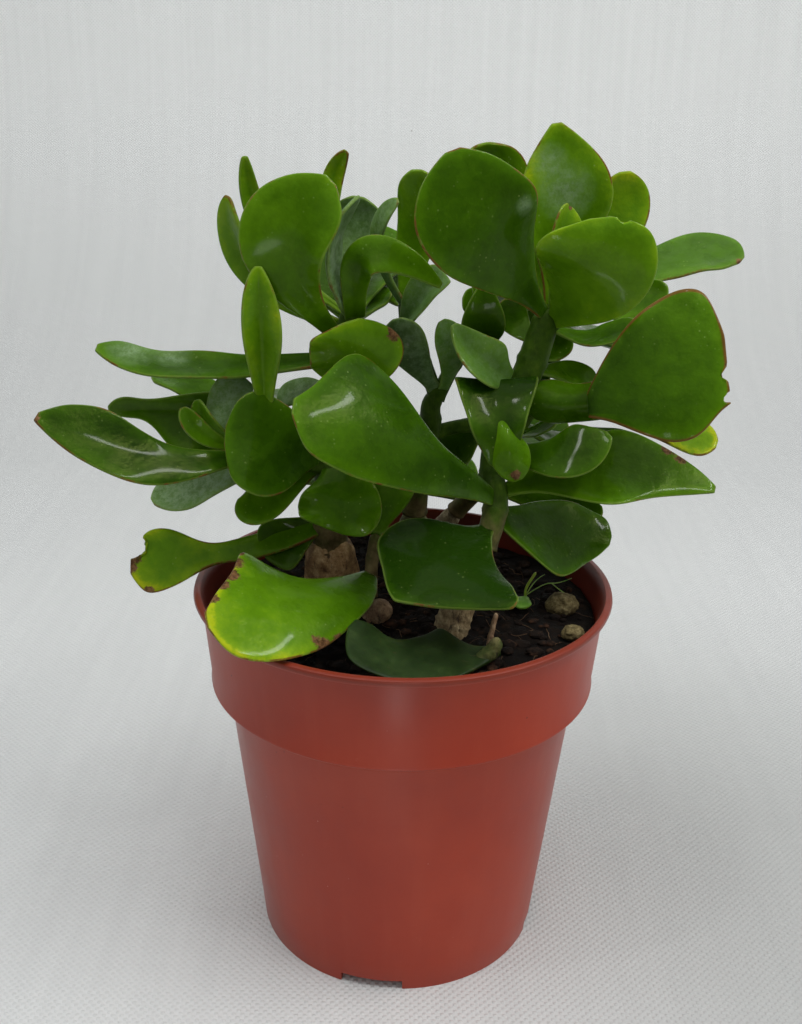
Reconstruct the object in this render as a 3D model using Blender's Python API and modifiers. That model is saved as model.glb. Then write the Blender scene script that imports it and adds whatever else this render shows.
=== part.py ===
"""A jade plant with waved leaves in a 12 cm nursery pot. Blender 4.5, metres, +Z up.

The pot stands on z = 0 with its axis on x = y = 0. The viewer of the plant's front looks along +Y.
Places and sizes in the tables are millimetres, and MM turns them into metres.
"""

import math

import bmesh
import bpy
from mathutils import Vector, noise

MM = 0.001

# Driving dimensions of the pot
POT_HEIGHT = 111 * MM
LIP_RADIUS = 60 * MM
LIP_THICK = 2 * MM
LIP_ROUND = 1 * MM
LIP_SLOPE = (1.6 * MM, 3 * MM)
LIP_UNDERCUT = 0.3 * MM
BAND_TOP_RADIUS = 57.9 * MM
BAND_FOOT_RADIUS = 55.4 * MM
BAND_FOOT_Z = 82.5 * MM
WALL_TOP_RADIUS = 51.2 * MM
WALL_FOOT_RADIUS = 42.2 * MM
WALL_THICK = 1.5 * MM
EDGE_ROUND = 1.2 * MM
FOOT_RING_INNER = 39.6 * MM
FOOT_HEIGHT = 3 * MM
HUB_RADIUS = 20 * MM
HUB_SLOPE = 2 * MM
FLOOR_SPREAD = 0.3 * MM
STEP_DROP = 1 * MM
FLOOR_THICK = 1.5 * MM
NOTCH_WIDTH = 18 * MM
NOTCH_DEPTH = 8 * MM
NOTCH_FRONT_ANGLE = math.radians(-100)
NOTCHES = 4
DRAIN_RADIUS = 3 * MM
DRAIN_CIRCLE = 30 * MM
DRAINS = 8
DRAIN_CUT = 6 * MM
DRAIN_SIDES = 10
ROUND_STEPS = 3
POT_STEPS = 40

# Driving dimensions of the filling and the plant
GAP = 0.3 * MM
HOLE_GAP = 0.35
SOIL_TOP_Z = 104 * MM
SOIL_LUMP = 1.76 * MM
SOIL_EDGE_DROP = 1.2 * MM
SOIL_SHOULDER = 1 * MM
SOIL_RINGS = (0.94, 0.8, 0.64, 0.48, 0.32, 0.16)
LUMP_RATES = (90, 230)
LEAF_THICK = 1.9 * MM
SMALL_LEAF_THICK = 1.4 * MM
SMALL_LEAF_WIDTH = 10
BROAD_LEAF_WIDTH = 16
STALK = 2.0
WAVE = 0.7
CUP = 0.12

# Where along a leaf its margin widths and lifts are given, from stalk to tip
STATIONS = (0.15, 0.35, 0.55, 0.75, 0.92)
PLAIN_OUTLINE = (0.32, 0.66, 0.94, 1.0, 0.68)
TIP_SHARE = 0.18

# Stems, as points with a radius: x, y, z, radius
WOOD = {
    "trunk_left": [(-20, 9, 86, 7), (-21, 8, 102, 7.8), (-21, 6, 112, 7.4), (-21.5, 5, 119, 6)],
    "trunk_centre": [(4, 29, 86, 4.8), (4, 28, 104, 4.8), (3, 24, 116, 4.4), (3, 21.5, 124, 4)],
    "trunk_right": [(11, -20, 86, 5), (13, -19, 103, 5), (17, -16, 115, 4.2), (22, -12.5, 126, 3.4)],
    "trunk_back": [(7, 40, 86, 3.6), (9, 38, 103, 3.5), (12, 35.5, 113, 3.2), (16, 32.5, 120, 3)],
    "stub_front": [(-9, -13, 92, 3.2), (-9, -13, 102, 3.4), (-7.5, -13.6, 106.5, 3.5),
                   (-3.5, -15.2, 109.5, 3.4)],
}
GREEN = {
    "shoot_left": [
        [(-21.5, 4.8, 119.75, 5.4), (-22, 2, 133, 4.2), (-21, 0, 146, 3.6), (-19, 0, 160, 3.4),
         (-18, 0, 174, 3.2),
         (-15, -1, 190, 2.8)],
        [(-21, 0, 145, 3), (-31, -2, 148, 2.6), (-46, -5, 151, 2.2)],
    ],
    "shoot_centre": [
        [(3, 21.4, 124.3, 3.8), (4, 18, 138, 3.6), (7, 14, 152, 3.2), (7, 12, 160, 2.8), (9, 12, 164, 2.6)],
        [(8.5, 12, 162, 2.2), (5, 12, 172, 2), (0, 13, 182, 2), (-1, 14, 190, 2)],
        [(8.5, 12, 162, 2.2), (13, 14, 171, 2.1), (19, 14, 180, 2), (23, 14, 186, 2)],
        [(7, 14, 151, 2.2), (17, 16, 153, 2), (23, 19, 151.5, 2)],
    ],
    "shoot_right": [
        [(22.2, -12.2, 126.3, 3.3), (25, -8, 137, 3.5), (24, -2, 146, 3.4), (25, 0, 154, 3.4),
         (29, 0, 165, 3.8),
         (33, 2, 173, 4.1), (36, 4, 182, 3.9), (39, 8, 190, 3.2)],
    ],
    "shoot_back": [
        [(16.2, 32.3, 120.3, 2.9), (24, 27, 132, 2.8), (30, 23, 145, 2.7), (36, 21, 157, 2.6),
         (40, 20, 166, 2.4)],
    ],
    "shoot_front": [
        [(-9, -12.2, 111, 1.8), (-9, -8, 119, 1.8), (-8, -4, 127, 1.6)],
    ],
}

# Leaves: name, base, middle and tip of the rib, the way the upper face looks, width, and what differs from
# a plain leaf. "left" and "right" are the margins' distances from the rib at STATIONS, seen on the upper face
# with the tip up. "stalk" and "end" are the same distances at the two ends. "twist" turns the blade from base
# to tip, and "cup" raises its margins.
LEAVES = {
    "shoot_left": [
        ("crown_broad", (-18, -2, 182), (-29, -12, 204), (-19.5, -12, 224), (0.1, -1, 0.2), 27,
         {"left": (2.5, 7.5, 13.5, 13.5, 7), "right": (2.5, 4.5, 6.5, 8.5, 7)}),
        ("crown_narrow", (-16, 0, 184), (-40, 7, 197), (-47.5, 4, 218), (-0.7, -0.7, 0.1), 11, {}),
        ("crown_spike", (-16, 0, 188), (-38, 15, 204), (-44, 12, 227.5), (0.3, -0.9, 0.2), 5, {"cup": 0.5}),
        ("crown_point", (-15, 0, 189), (-22, 15, 213), (-17, 14, 229), (0.2, -0.9, 0.1), 5, {"cup": 0.4}),
        ("crown_grey", (-15, 0, 189), (-15, 16, 204), (-14, 17, 217), (0, -1, 0.2), 15, {}),
        ("crown_twisted", (-16, -2, 189), (-20, -5, 206), (-13, -2, 219), (0.8, -0.6, 0), 11,
         {"twist": (0, -40)}),
        ("crown_arched", (-14, -2, 187), (-11, -8, 205), (8.5, -6, 197), (0.1, -0.9, 0.5), 13,
         {"left": (2.5, 4, 5, 4.5, 2.5), "right": (3.5, 5, 5, 3.5, 1.5), "stalk": (3, 3)}),
        ("crown_shaded", (-14, 0, 187), (-12, 11, 188), (-10, 22, 192), (-0.2, -0.6, 0.8), 13, {}),
        ("left_upright", (-38, -3.5, 150), (-38, -11, 183), (-38, -14, 203), (0.1, -1, 0), 10.5,
         {"left": (1.8, 3.4, 4.3, 4.2, 2.8), "right": (1.8, 3.8, 5.2, 4.6, 2.2), "cup": 0.4}),
        ("left_long", (-16, 0, 176.5), (-50, -2, 174), (-83, -4, 179), (0, -0.45, 0.9), 18,
         {"left": (2.5, 3.5, 6.5, 8, 5), "right": (3, 3.5, 3.5, 2, 3.5), "stalk": (2.6, 2.6)}),
        ("left_under", (-36, -2, 149), (-56, 12, 162), (-72, 12, 166), (0, -0.3, 0.95), 12, {}),
        ("left_twisted", (-36, -1, 148), (-60, 2, 158.5), (-82, 0, 160.5), (0, -0.7, 0.7), 15,
         {"left": (4, 9, 9.5, 2.5, 2), "right": (5, 9, 5.5, 2.5, 4), "twist": (0, 60)}),
        ("left_bud_a", (-43, -4, 151), (-54, -8, 156), (-60, -8, 164), (0.4, -0.9, 0.2), 5, {"cup": 0.4}),
        ("left_bud_b", (-43, -4, 151), (-52, -7, 158), (-56, -7, 166), (-0.4, -0.9, 0.2), 5, {"cup": 0.4}),
        ("left_far", (-40, -4, 150), (-67, -20, 154), (-94, -26, 166), (0.15, -0.7, 0.7), 20,
         {"left": (2.5, 6, 8.5, 6, 2.5), "right": (2, 3, 6, 9, 6)}),
        ("left_silver", (-36, -2, 148), (-56, 2, 138.5), (-71, -2, 134.5), (0, -0.5, 0.85), 13, {}),
        ("left_rising", (-43, -5, 151), (-49, -4, 161), (-44.5, 0, 171), (0.2, -0.9, 0.3), 11,
         {"left": (3, 4.5, 5, 5, 4), "right": (3, 4.5, 5.5, 6, 5), "end": (2.5, 3)}),
        ("left_round", (-22, -2, 150), (-35, -11, 156), (-48, -14, 158.5), (0.1, -0.93, 0.36), 28,
         {"left": (6, 12, 15, 14, 10), "right": (4, 8, 11, 12, 8)}),
        ("left_low", (-24, 0, 146), (-38, -6, 138), (-45, -8, 139), (0, -0.8, 0.6), 14, {}),
        ("middle_olive", (-18, -1, 168), (-13, -9, 177), (-13, -10, 189.5), (0, -0.9, 0.4), 26,
         {"left": (9, 12.5, 14, 13, 8.5), "right": (4, 10, 13, 13, 9)}),
        ("left_grey", (-20, 1, 167), (-28, 5, 166), (-36, 7, 162), (0.1, -0.6, 0.8), 8, {}),
        ("middle_hanging", (-21, -1, 147), (-18, -8, 139), (-19, -11, 130), (0, -0.85, 0.5), 23,
         {"left": (4, 9, 11, 11, 8), "right": (4, 9, 11, 11, 9)}),
        ("low_dark", (-22, 3, 129), (-33, 2, 122), (-40, -1, 118), (-0.1, -0.9, 0.4), 15, {}),
        ("low_torn", (-22, 2, 127), (-52, -2, 118), (-77, -8, 117), (0, -0.8, 0.6), 18,
         {"left": (3, 2.5, 1.4, 5.5, 7), "right": (3, 4, 4, 10, 9), "twist": (-10, 10)}),
        ("left_back_a", (-16, 1, 187), (-30, 22, 198), (-42, 38, 203), (-0.2, -0.3, 0.9), 24, {}),
        ("left_back_b", (-15, 0, 188), (-13, 26, 196), (-10, 44, 206), (0, -0.7, 0.7), 24, {}),
        ("left_back_c", (-18, 1, 168), (-31, 22, 158), (-44, 40, 155), (0, -0.2, 1), 16, {}),
        ("left_back_d", (-22, 1, 140), (-38, 22, 140), (-52, 38, 150), (0, -0.3, 1), 24, {}),
    ],
    "shoot_centre": [
        ("centre_upright", (-1, 15, 189), (1, 18, 208), (1.5, 15, 224.5), (0, -1, 0.1), 14,
         {"left": (2.5, 4, 4, 4.5, 4), "right": (3, 5.5, 7.5, 8, 5.5)}),
        ("centre_strip", (-1, 13, 188), (-8.5, 6, 206), (-3, 1, 218), (-0.6, -0.6, 0.5), 6, {}),
        ("centre_folded", (-2, 10, 181), (4, 5.5, 191), (10, 4, 198.5), (-0.3, -0.7, 0.6), 9,
         {"left": (2, 3.5, 4.7, 4.7, 4), "right": (2, 3.5, 4, 4, 4), "end": (3, 3.2), "cup": 0.45}),
        ("centre_grey", (8, 11, 165), (1, 4, 177), (-3, 2, 187), (-0.3, -0.8, 0.5), 11, {}),
        ("centre_curved", (10, 11, 165), (12, 6, 176), (9, 5, 186), (0.3, -0.9, 0.2), 8, {}),
        ("centre_dark", (21, 13.5, 176), (20.5, 8, 185), (20.5, 8, 196), (0, -1, 0.3), 11,
         {"left": (3.5, 5.5, 5.5, 3.8, 1.8), "right": (3.5, 5.5, 5.8, 4.2, 2)}),
        ("centre_edge", (22, 14, 184), (22, 12, 190), (18, 11, 196), (0.4, -0.9, 0), 6, {}),
        ("centre_small", (22, 14, 183), (19.5, 17, 187.5), (15.5, 17, 191), (0, -0.9, 0.4), 7, {}),
        ("centre_low", (22, 18, 151), (16, 21, 145), (10, 23, 141), (0, -0.9, 0.4), 12, {}),
        ("centre_back_a", (-1, 15, 188), (-8, 36, 194), (-4, 56, 202), (0, -0.5, 0.9), 25, {}),
        ("centre_back_b", (22, 15, 184), (30, 34, 188), (34, 52, 198), (0, -0.5, 0.9), 24, {}),
        ("centre_back_c", (4, 19, 136), (-8, 40, 134), (-18, 58, 142), (0, -0.3, 1), 25, {}),
    ],
    "shoot_right": [
        ("front_fan", (23, -11, 132), (14, -28, 129.5), (10, -44, 123), (0, -0.4, 0.9), 38,
         {"left": (4, 8, 14, 17, 18.5), "right": (4.5, 17, 21.5, 17, 14), "end": (17, 12)}),
        ("front_glossy", (25, -8, 139), (-1, -27, 162), (-28, -35, 173), (0.3, -0.7, 0.6), 32,
         {"left": (5, 11, 15, 15, 11), "right": (3, 7, 15.5, 14, 5.5)}),
        ("right_long", (26, -5, 140), (54, -4, 147), (85, -8, 143), (0, -0.5, 0.85), 24,
         {"left": (3, 6, 14, 10, 4), "right": (4, 10, 13.5, 7.5, 3)}),
        ("right_low", (25, -7, 135), (45, 3, 127), (60, 5, 122), (0.3, -0.6, 0.7), 22,
         {"left": (3, 7, 9, 8, 6), "right": (11, 17, 14.5, 9, 4.5), "stalk": (2, 4)}),
        ("right_oval", (26, -1, 152), (41, -13, 154), (54, -13, 160), (0, -0.7, 0.7), 15,
         {"left": (2.5, 5, 7, 7.5, 4), "right": (2.5, 5, 7, 6, 3)}),
        ("right_hanging", (23.5, -2, 171.5), (24.5, -11.5, 161.5), (27, -13, 150), (0, -0.95, 0.3), 24,
         {"left": (11, 8.5, 6.5, 4.5, 3.5), "right": (10, 8, 7, 5, 3.5), "stalk": (12, 11)}),
        ("right_tongue", (25, -10, 163.5), (27.5, -16, 157), (30.2, -14, 147), (0.1, -0.95, 0.3), 10, {}),
        ("right_broad", (32, 0, 168), (58, -9, 175), (84, -12, 178), (0, -0.93, 0.36), 37,
         {"left": (3.4, 2.6, 13.3, 19.3, 17.5), "right": (9, 8.2, 13.3, 17, 14), "end": (9.5, 6.5)}),
        ("right_strap", (39, 8, 189), (72, 22, 199), (93, 20, 201), (0, -0.4, 0.9), 18,
         {"left": (3, 5.5, 9, 10.5, 8), "right": (3, 5, 7, 7, 5)}),
        ("top_dark", (37, 5, 188), (21, -12, 210), (10, -16, 232), (0.2, -0.9, 0.3), 30,
         {"left": (3, 9, 15.5, 16.5, 9.5), "right": (3, 9.5, 15.5, 13, 7.5)}),
        ("top_behind", (38, 9, 189), (25, 22, 214), (19, 20, 231), (0, -0.95, 0.3), 20, {}),
        ("top_pointed", (39, 9, 189), (40, 13, 214), (38, 14, 237), (0, -0.95, 0.3), 25,
         {"left": (3, 7, 10, 9, 4), "right": (3, 9, 14, 12, 5)}),
        ("top_right", (39.5, 8, 189), (54.5, 19, 207), (58, 20, 224.5), (0, -0.95, 0.3), 16, {}),
        ("top_inner", (39, 6, 190), (39, 2, 206), (41.5, 4, 217), (0.5, -0.8, 0), 9, {"cup": 0.5}),
        ("top_round", (39, 5, 186), (46, -13, 202), (47, -15, 216.5), (0, -0.93, 0.36), 31,
         {"left": (5, 12, 15, 15, 11), "right": (5, 12, 14.5, 14, 10)}),
        ("top_under", (38, 6, 185), (50, 3, 182), (61, 2, 187.5), (0, -0.3, 0.95), 10, {}),
        ("top_shaded", (39.5, 8, 188), (60, 12, 189), (70, 12, 196), (0, -0.6, 0.8), 10, {}),
        ("right_under", (34, 4, 176), (41, 12, 176), (44, 12, 182), (0, -0.6, 0.8), 7, {}),
        ("right_shaded", (33, 3, 173), (46, 15, 169), (54, 18, 165), (0, -0.7, 0.7), 9, {}),
        ("middle_folded", (30, 1, 170), (20, -2, 176), (12, -2, 186.5), (0.2, -0.8, 0.5), 12,
         {"left": (3, 5.5, 6, 4.5, 2.2), "right": (3, 5.5, 6, 4.5, 2.2)}),
        ("middle_dark", (36, 4, 180), (30, 11, 184), (27.5, 12, 191), (0, -0.9, 0.4), 8, {}),
        ("right_back_a", (39, 8.5, 189), (46, 30, 203), (52, 48, 214), (0, -0.6, 0.8), 26, {}),
        ("right_back_b", (39, 8.5, 188), (28, 26, 202), (20, 42, 214), (0, -0.6, 0.8), 24, {}),
        ("right_back_c", (39.5, 8.5, 186), (56, 26, 176), (68, 42, 174), (0, -0.3, 1), 22, {}),
    ],
    "shoot_back": [
        ("back_light", (23, 28, 131), (48, 27, 124), (60, 28, 125), (0, -0.5, 0.85), 12, {}),
        ("back_glossy", (31, 22, 148), (37, 12, 153), (42, 5, 157), (0, -0.5, 0.85), 9, {}),
        ("back_lime", (38, 20, 162), (70, 15, 154), (89, 10, 150.5), (0, -0.6, 0.8), 12, {}),
        ("back_a", (28, 24, 140), (36, 44, 138), (44, 64, 146), (0, -0.3, 1), 26, {}),
        ("back_b", (20, 29, 126), (14, 50, 122), (6, 68, 130), (0, -0.3, 1), 24, {}),
        ("back_c", (39, 21, 163), (62, 38, 152), (82, 50, 152), (0, -0.3, 1), 22, {}),
        ("back_d", (34, 21, 152), (54, 28, 142), (74, 38, 143), (0, -0.3, 1), 22, {}),
        ("back_e", (39, 21, 165), (43, 44, 180), (40, 62, 194), (0, -0.5, 0.9), 22, {}),
    ],
    "shoot_front": [
        ("front_lime", (-9, -10, 117), (-27, -36, 120), (-49, -50, 122), (-0.1, -0.6, 0.8), 32,
         {"left": (8, 11, 13.5, 13.5, 9.5), "right": (4, 9, 22, 14.5, 7)}),
        ("front_behind", (-8, -4, 126), (-5, -1, 137), (-4, 1, 146), (0, -0.95, 0.3), 14, {}),
    ],
}

FALLEN_LEAF = ("leaf_fallen", (25, -35, 107), (7, -42, 107.5), (-13, -38, 116), (0, -0.25, 1), 20,
               {"left": (3, 7, 10.5, 13, 11), "right": (4, 11.5, 8, 1.5, 2.5)})
TWIG = [(23, -30, 92, 0.9), (23, -30, 104, 0.8), (25, -27, 114, 0.6)]
SEEDLING_STEM = [(36, 0, 94, 0.45), (36, 0, 104, 0.45), (35.5, -1, 109, 0.4), (38, -2, 115, 0.4)]
SEEDLING_LEAF = ("seedling", (36, -0.5, 106), (34.5, -4, 106.6), (34, -7.5, 106), (0, -0.3, 1), 4.5, {})
STONES = {
    "stone_large": ((46, -2, 105), (4.6, 4.1, 3.5), 2),
    "stone_small": ((47, -20, 104.8), (3.2, 2.6, 2.2), 5),
}

COLOURS = {
    "pot": ((0.16, 0.035, 0.02, 1), 0.42),
    "soil": ((0.012, 0.009, 0.007, 1), 0.95),
    "bark": ((0.14, 0.08, 0.04, 1), 0.85),
    "leaf": ((0.06, 0.16, 0.012, 1), 0.3),
    "dull_leaf": ((0.02, 0.07, 0.03, 1), 0.55),
    "twig": ((0.2, 0.11, 0.05, 1), 0.85),
    "stone": ((0.18, 0.14, 0.05, 1), 0.85),
}


def clear_scene():
    for obj in list(bpy.data.objects):
        bpy.data.objects.remove(obj)


def collection(name):
    made = bpy.data.collections.new(name)
    bpy.context.scene.collection.children.link(made)
    return made


def material(name):
    colour, roughness = COLOURS[name]
    made = bpy.data.materials.get(name) or bpy.data.materials.new(name)
    made.use_nodes = True
    shader = made.node_tree.nodes["Principled BSDF"]
    shader.inputs["Base Color"].default_value = colour
    shader.inputs["Roughness"].default_value = roughness
    return made


def add_object(name, mesh, home, finish=None):
    obj = bpy.data.objects.new(name, mesh)
    home.objects.link(obj)
    if finish:
        mesh.materials.clear()
        mesh.materials.append(material(finish))
    return obj


def mesh_of(obj):
    """The evaluated mesh as a new datablock, in the object's own space."""
    bpy.context.view_layer.update()
    graph = bpy.context.evaluated_depsgraph_get()
    return bpy.data.meshes.new_from_object(obj.evaluated_get(graph))


def hide_helper(obj):
    obj.hide_render = True
    obj.display_type = "WIRE"


def smooth_value(x, knots, values):
    """A smooth curve through the values at the knots, read at x."""
    last = len(knots) - 2
    i = max(k for k in range(last + 1) if knots[k] <= x or k == 0)
    x0, x1 = knots[i], knots[i + 1]

    def slope(k):
        a, b = max(k - 1, 0), min(k + 1, last + 1)
        return (values[b] - values[a]) / (knots[b] - knots[a])

    t = (x - x0) / (x1 - x0)
    rise = x1 - x0
    return (
        (2 * t**3 - 3 * t**2 + 1) * values[i]
        + (t**3 - 2 * t**2 + t) * rise * slope(i)
        + (3 * t**2 - 2 * t**3) * values[i + 1]
        + (t**3 - t**2) * rise * slope(i + 1)
    )


def smooth_path(points, step):
    """Points about step apart on a smooth curve through the given ones, each of x, y, z and radius."""
    along = [0.0]
    for a, b in zip(points, points[1:]):
        along.append(along[-1] + math.dist(a[:3], b[:3]))
    count = max(2, round(along[-1] / step))
    columns = list(zip(*points))
    return [
        [smooth_value(along[-1] * k / count, along, column) for column in columns]
        for k in range(count + 1)
    ]


def tube(name, points, home, grow=0.0, step=5.0, sides=2):
    """A tapered stem with closed ends along the points, as a mesh."""
    curve = bpy.data.curves.new(name, "CURVE")
    curve.dimensions = "3D"
    curve.bevel_depth = MM
    curve.bevel_resolution = sides
    curve.use_fill_caps = True
    curve.resolution_u = 1
    path = smooth_path(points, step)
    spline = curve.splines.new("POLY")
    spline.points.add(len(path) - 1)
    for point, (x, y, z, radius) in zip(spline.points, path):
        point.co = (x * MM, y * MM, z * MM, 1)
        point.radius = radius + grow
    guide = bpy.data.objects.new(name + "_guide", curve)
    home.objects.link(guide)
    mesh = mesh_of(guide)
    bpy.data.objects.remove(guide)
    bm = bmesh.new()
    bm.from_mesh(mesh)
    bmesh.ops.remove_doubles(bm, verts=bm.verts, dist=1e-6)
    bmesh.ops.triangulate(bm, faces=bm.faces)
    bmesh.ops.recalc_face_normals(bm, faces=bm.faces)
    bm.to_mesh(mesh)
    bm.free()
    return add_object(name, mesh, home)


def margins(width, extra):
    """The left and right distances of the margin from the rib at the stations, in mm."""
    plain = [share * width / 2 for share in PLAIN_OUTLINE]
    return extra.get("left", plain), extra.get("right", plain)


def leaf_point(row, u, s):
    """The place in mm of a blade's point: u from -1 at the left margin to 1, s from 0 at the stalk to 1."""
    name, base, middle, tip, face, width, extra = row
    base, middle, tip = Vector(base), Vector(middle), Vector(tip)
    bend = 2 * middle - (base + tip) / 2
    place = (1 - s) ** 2 * base + 2 * s * (1 - s) * bend + s * s * tip
    along = (2 * (1 - s) * (bend - base) + 2 * s * (tip - bend)).normalized()
    up = Vector(face)
    up = (up - up.dot(along) * along).normalized()
    right = along.cross(up)
    twist = extra.get("twist", (0, 0))
    angle = math.radians(twist[0] + (twist[1] - twist[0]) * s)
    right, up = (
        math.cos(angle) * right + math.sin(angle) * up,
        math.cos(angle) * up - math.sin(angle) * right,
    )
    side = margins(width, extra)[u > 0]
    knots = (0,) + STATIONS + (1,)
    stalk = extra.get("stalk", (min(STALK, width / 5),) * 2)
    end = extra.get("end", (side[-1] * TIP_SHARE,) * 2)
    half = smooth_value(s, knots, (stalk[u > 0], *side, end[u > 0]))
    seed = sum(base) + (0.37 if u > 0 else 0)
    ripple = WAVE * min(1, width / 20) * math.sin(2 * math.pi * (2.2 * s + seed * 0.13))
    height = abs(u) ** 1.6 * extra.get("cup", CUP) * half + u * u * ripple * math.sin(math.pi * s)
    return place + u * half * right + height * up


def leaf(row, home):
    """A blade from a grid whose points are placed by the rib and the margins, thickened to a solid."""
    width = row[5]
    columns, rows = (4, 6) if width > BROAD_LEAF_WIDTH else (2, 5)
    bpy.ops.mesh.primitive_grid_add(x_subdivisions=columns, y_subdivisions=rows, size=2)
    obj = bpy.context.active_object
    obj.name = row[0]
    for owner in list(obj.users_collection):
        owner.objects.unlink(obj)
    home.objects.link(obj)
    for vertex in obj.data.vertices:
        u, s = vertex.co.x, (vertex.co.y + 1) / 2
        vertex.co = leaf_point(row, u, 1 - (1 - s) ** 1.3) * MM
    bm = bmesh.new()
    bm.from_mesh(obj.data)
    bmesh.ops.triangulate(bm, faces=bm.faces)
    bm.to_mesh(obj.data)
    bm.free()
    thicken = obj.modifiers.new("Thickness", "SOLIDIFY")
    thicken.thickness = LEAF_THICK if width > SMALL_LEAF_WIDTH else SMALL_LEAF_THICK
    thicken.offset = 0
    obj.data = mesh_of(obj)
    obj.modifiers.clear()
    return obj


def keep_largest_body(mesh):
    """Drops what isn't joined to the largest body: loose scraps and the inner skins of sealed hollows."""
    bm = bmesh.new()
    bm.from_mesh(mesh)
    bmesh.ops.remove_doubles(bm, verts=bm.verts, dist=1e-6)
    bodies = []
    left = set(bm.verts)
    while left:
        body, front = set(), [left.pop()]
        while front:
            vertex = front.pop()
            body.add(vertex)
            for edge in vertex.link_edges:
                other = edge.other_vert(vertex)
                if other in left:
                    left.remove(other)
                    front.append(other)
        bodies.append(body)
    bodies.sort(key=len)
    for body in bodies[:-1]:
        bmesh.ops.delete(bm, geom=list(body), context="VERTS")
    bmesh.ops.triangulate(bm, faces=bm.faces)
    bm.to_mesh(mesh)
    bm.free()


def fuse(name, pieces, home, finish):
    """One solid from the pieces, by one Boolean union on their collection."""
    first, others = pieces[0], pieces[1:]
    group = collection(name + "_pieces")
    for piece in others:
        for owner in list(piece.users_collection):
            owner.objects.unlink(piece)
        group.objects.link(piece)
    join = first.modifiers.new("Join", "BOOLEAN")
    join.operation = "UNION"
    join.operand_type = "COLLECTION"
    join.collection = group
    join.solver = "MANIFOLD"
    mesh = mesh_of(first)
    for piece in pieces:
        bpy.data.objects.remove(piece)
    bpy.data.collections.remove(group)
    keep_largest_body(mesh)
    return add_object(name, mesh, home, finish)


def cut(obj, cutter):
    saw = obj.modifiers.new("Cut " + cutter.name, "BOOLEAN")
    saw.operation = "DIFFERENCE"
    saw.object = cutter
    return saw


def turned(name, profile, home, finish):
    """A turned solid. The profile is a list of (radius, z) that starts and ends on the axis."""
    mesh = bpy.data.meshes.new(name)
    mesh.from_pydata([(r, 0, z) for r, z in profile], [(i, i + 1) for i in range(len(profile) - 1)], [])
    obj = add_object(name, mesh, home, finish)
    screw = obj.modifiers.new("Turn", "SCREW")
    screw.axis = "Z"
    screw.steps = POT_STEPS
    screw.render_steps = POT_STEPS
    screw.use_merge_vertices = True
    screw.merge_threshold = 0.0001
    screw.use_normal_calculate = False
    obj.data = mesh_of(obj)
    obj.modifiers.clear()
    return obj


def arc(centre, radius, start, end, count):
    """Points of a rounded edge in the profile's plane, angles in degrees."""
    return [
        (
            centre[0] + radius * math.cos(math.radians(start + (end - start) * k / count)),
            centre[1] + radius * math.sin(math.radians(start + (end - start) * k / count)),
        )
        for k in range(count + 1)
    ]


def inner_profile(inset):
    """The pot's inside from the floor's centre up to the lip, moved in by inset."""
    floor = FLOOR_THICK + inset
    return [
        (0, floor),
        (HUB_RADIUS - WALL_THICK - inset, floor),
        (HUB_RADIUS + HUB_SLOPE - WALL_THICK - inset, floor + FOOT_HEIGHT),
        (WALL_FOOT_RADIUS - WALL_THICK - inset + FLOOR_SPREAD, floor + FOOT_HEIGHT),
        (WALL_TOP_RADIUS - WALL_THICK - inset, BAND_FOOT_Z + inset),
        (BAND_FOOT_RADIUS - WALL_THICK - inset, BAND_FOOT_Z + WALL_THICK + inset),
    ]


def make_pot(home, cutters):
    lip_foot = POT_HEIGHT - LIP_THICK
    profile = inner_profile(0) + [
        (BAND_TOP_RADIUS - WALL_THICK, POT_HEIGHT - LIP_SLOPE[1]),
        (BAND_TOP_RADIUS - WALL_THICK + LIP_SLOPE[0], POT_HEIGHT),
    ]
    profile += arc((LIP_RADIUS - LIP_ROUND, POT_HEIGHT - LIP_ROUND), LIP_ROUND, 90, 0, ROUND_STEPS)
    profile += [
        (LIP_RADIUS - LIP_UNDERCUT, lip_foot),
        (BAND_TOP_RADIUS, lip_foot - 2 * LIP_UNDERCUT),
    ]
    profile += arc(
        (BAND_FOOT_RADIUS - EDGE_ROUND, BAND_FOOT_Z + EDGE_ROUND), EDGE_ROUND, 0, -90, ROUND_STEPS
    )
    profile += [(WALL_TOP_RADIUS, BAND_FOOT_Z - STEP_DROP)]
    profile += arc((WALL_FOOT_RADIUS - EDGE_ROUND, EDGE_ROUND), EDGE_ROUND, 0, -90, ROUND_STEPS)
    profile += [
        (FOOT_RING_INNER, 0),
        (FOOT_RING_INNER, FOOT_HEIGHT),
        (HUB_RADIUS + HUB_SLOPE, FOOT_HEIGHT),
        (HUB_RADIUS, 0),
        (0, 0),
    ]
    pot = turned("pot", profile, home, "pot")
    for k in range(NOTCHES):
        angle = NOTCH_FRONT_ANGLE + 2 * math.pi * k / NOTCHES
        bpy.ops.mesh.primitive_cube_add(size=1)
        notch = bpy.context.active_object
        notch.name = "notch_%d" % k
        notch.scale = (NOTCH_DEPTH, NOTCH_WIDTH, 2 * FOOT_HEIGHT)
        notch.location = (WALL_FOOT_RADIUS * math.cos(angle), WALL_FOOT_RADIUS * math.sin(angle), 0)
        notch.rotation_euler.z = angle
        move_to(notch, cutters)
        cut(pot, notch)
    for k in range(DRAINS):
        angle = NOTCH_FRONT_ANGLE + 2 * math.pi * (k + 0.5) / DRAINS
        bpy.ops.mesh.primitive_cylinder_add(vertices=DRAIN_SIDES, radius=DRAIN_RADIUS, depth=DRAIN_CUT)
        drain = bpy.context.active_object
        drain.name = "drain_%d" % k
        drain.location = (
            DRAIN_CIRCLE * math.cos(angle),
            DRAIN_CIRCLE * math.sin(angle),
            FOOT_HEIGHT + FLOOR_THICK / 2,
        )
        move_to(drain, cutters)
        cut(pot, drain)
    return pot


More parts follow.
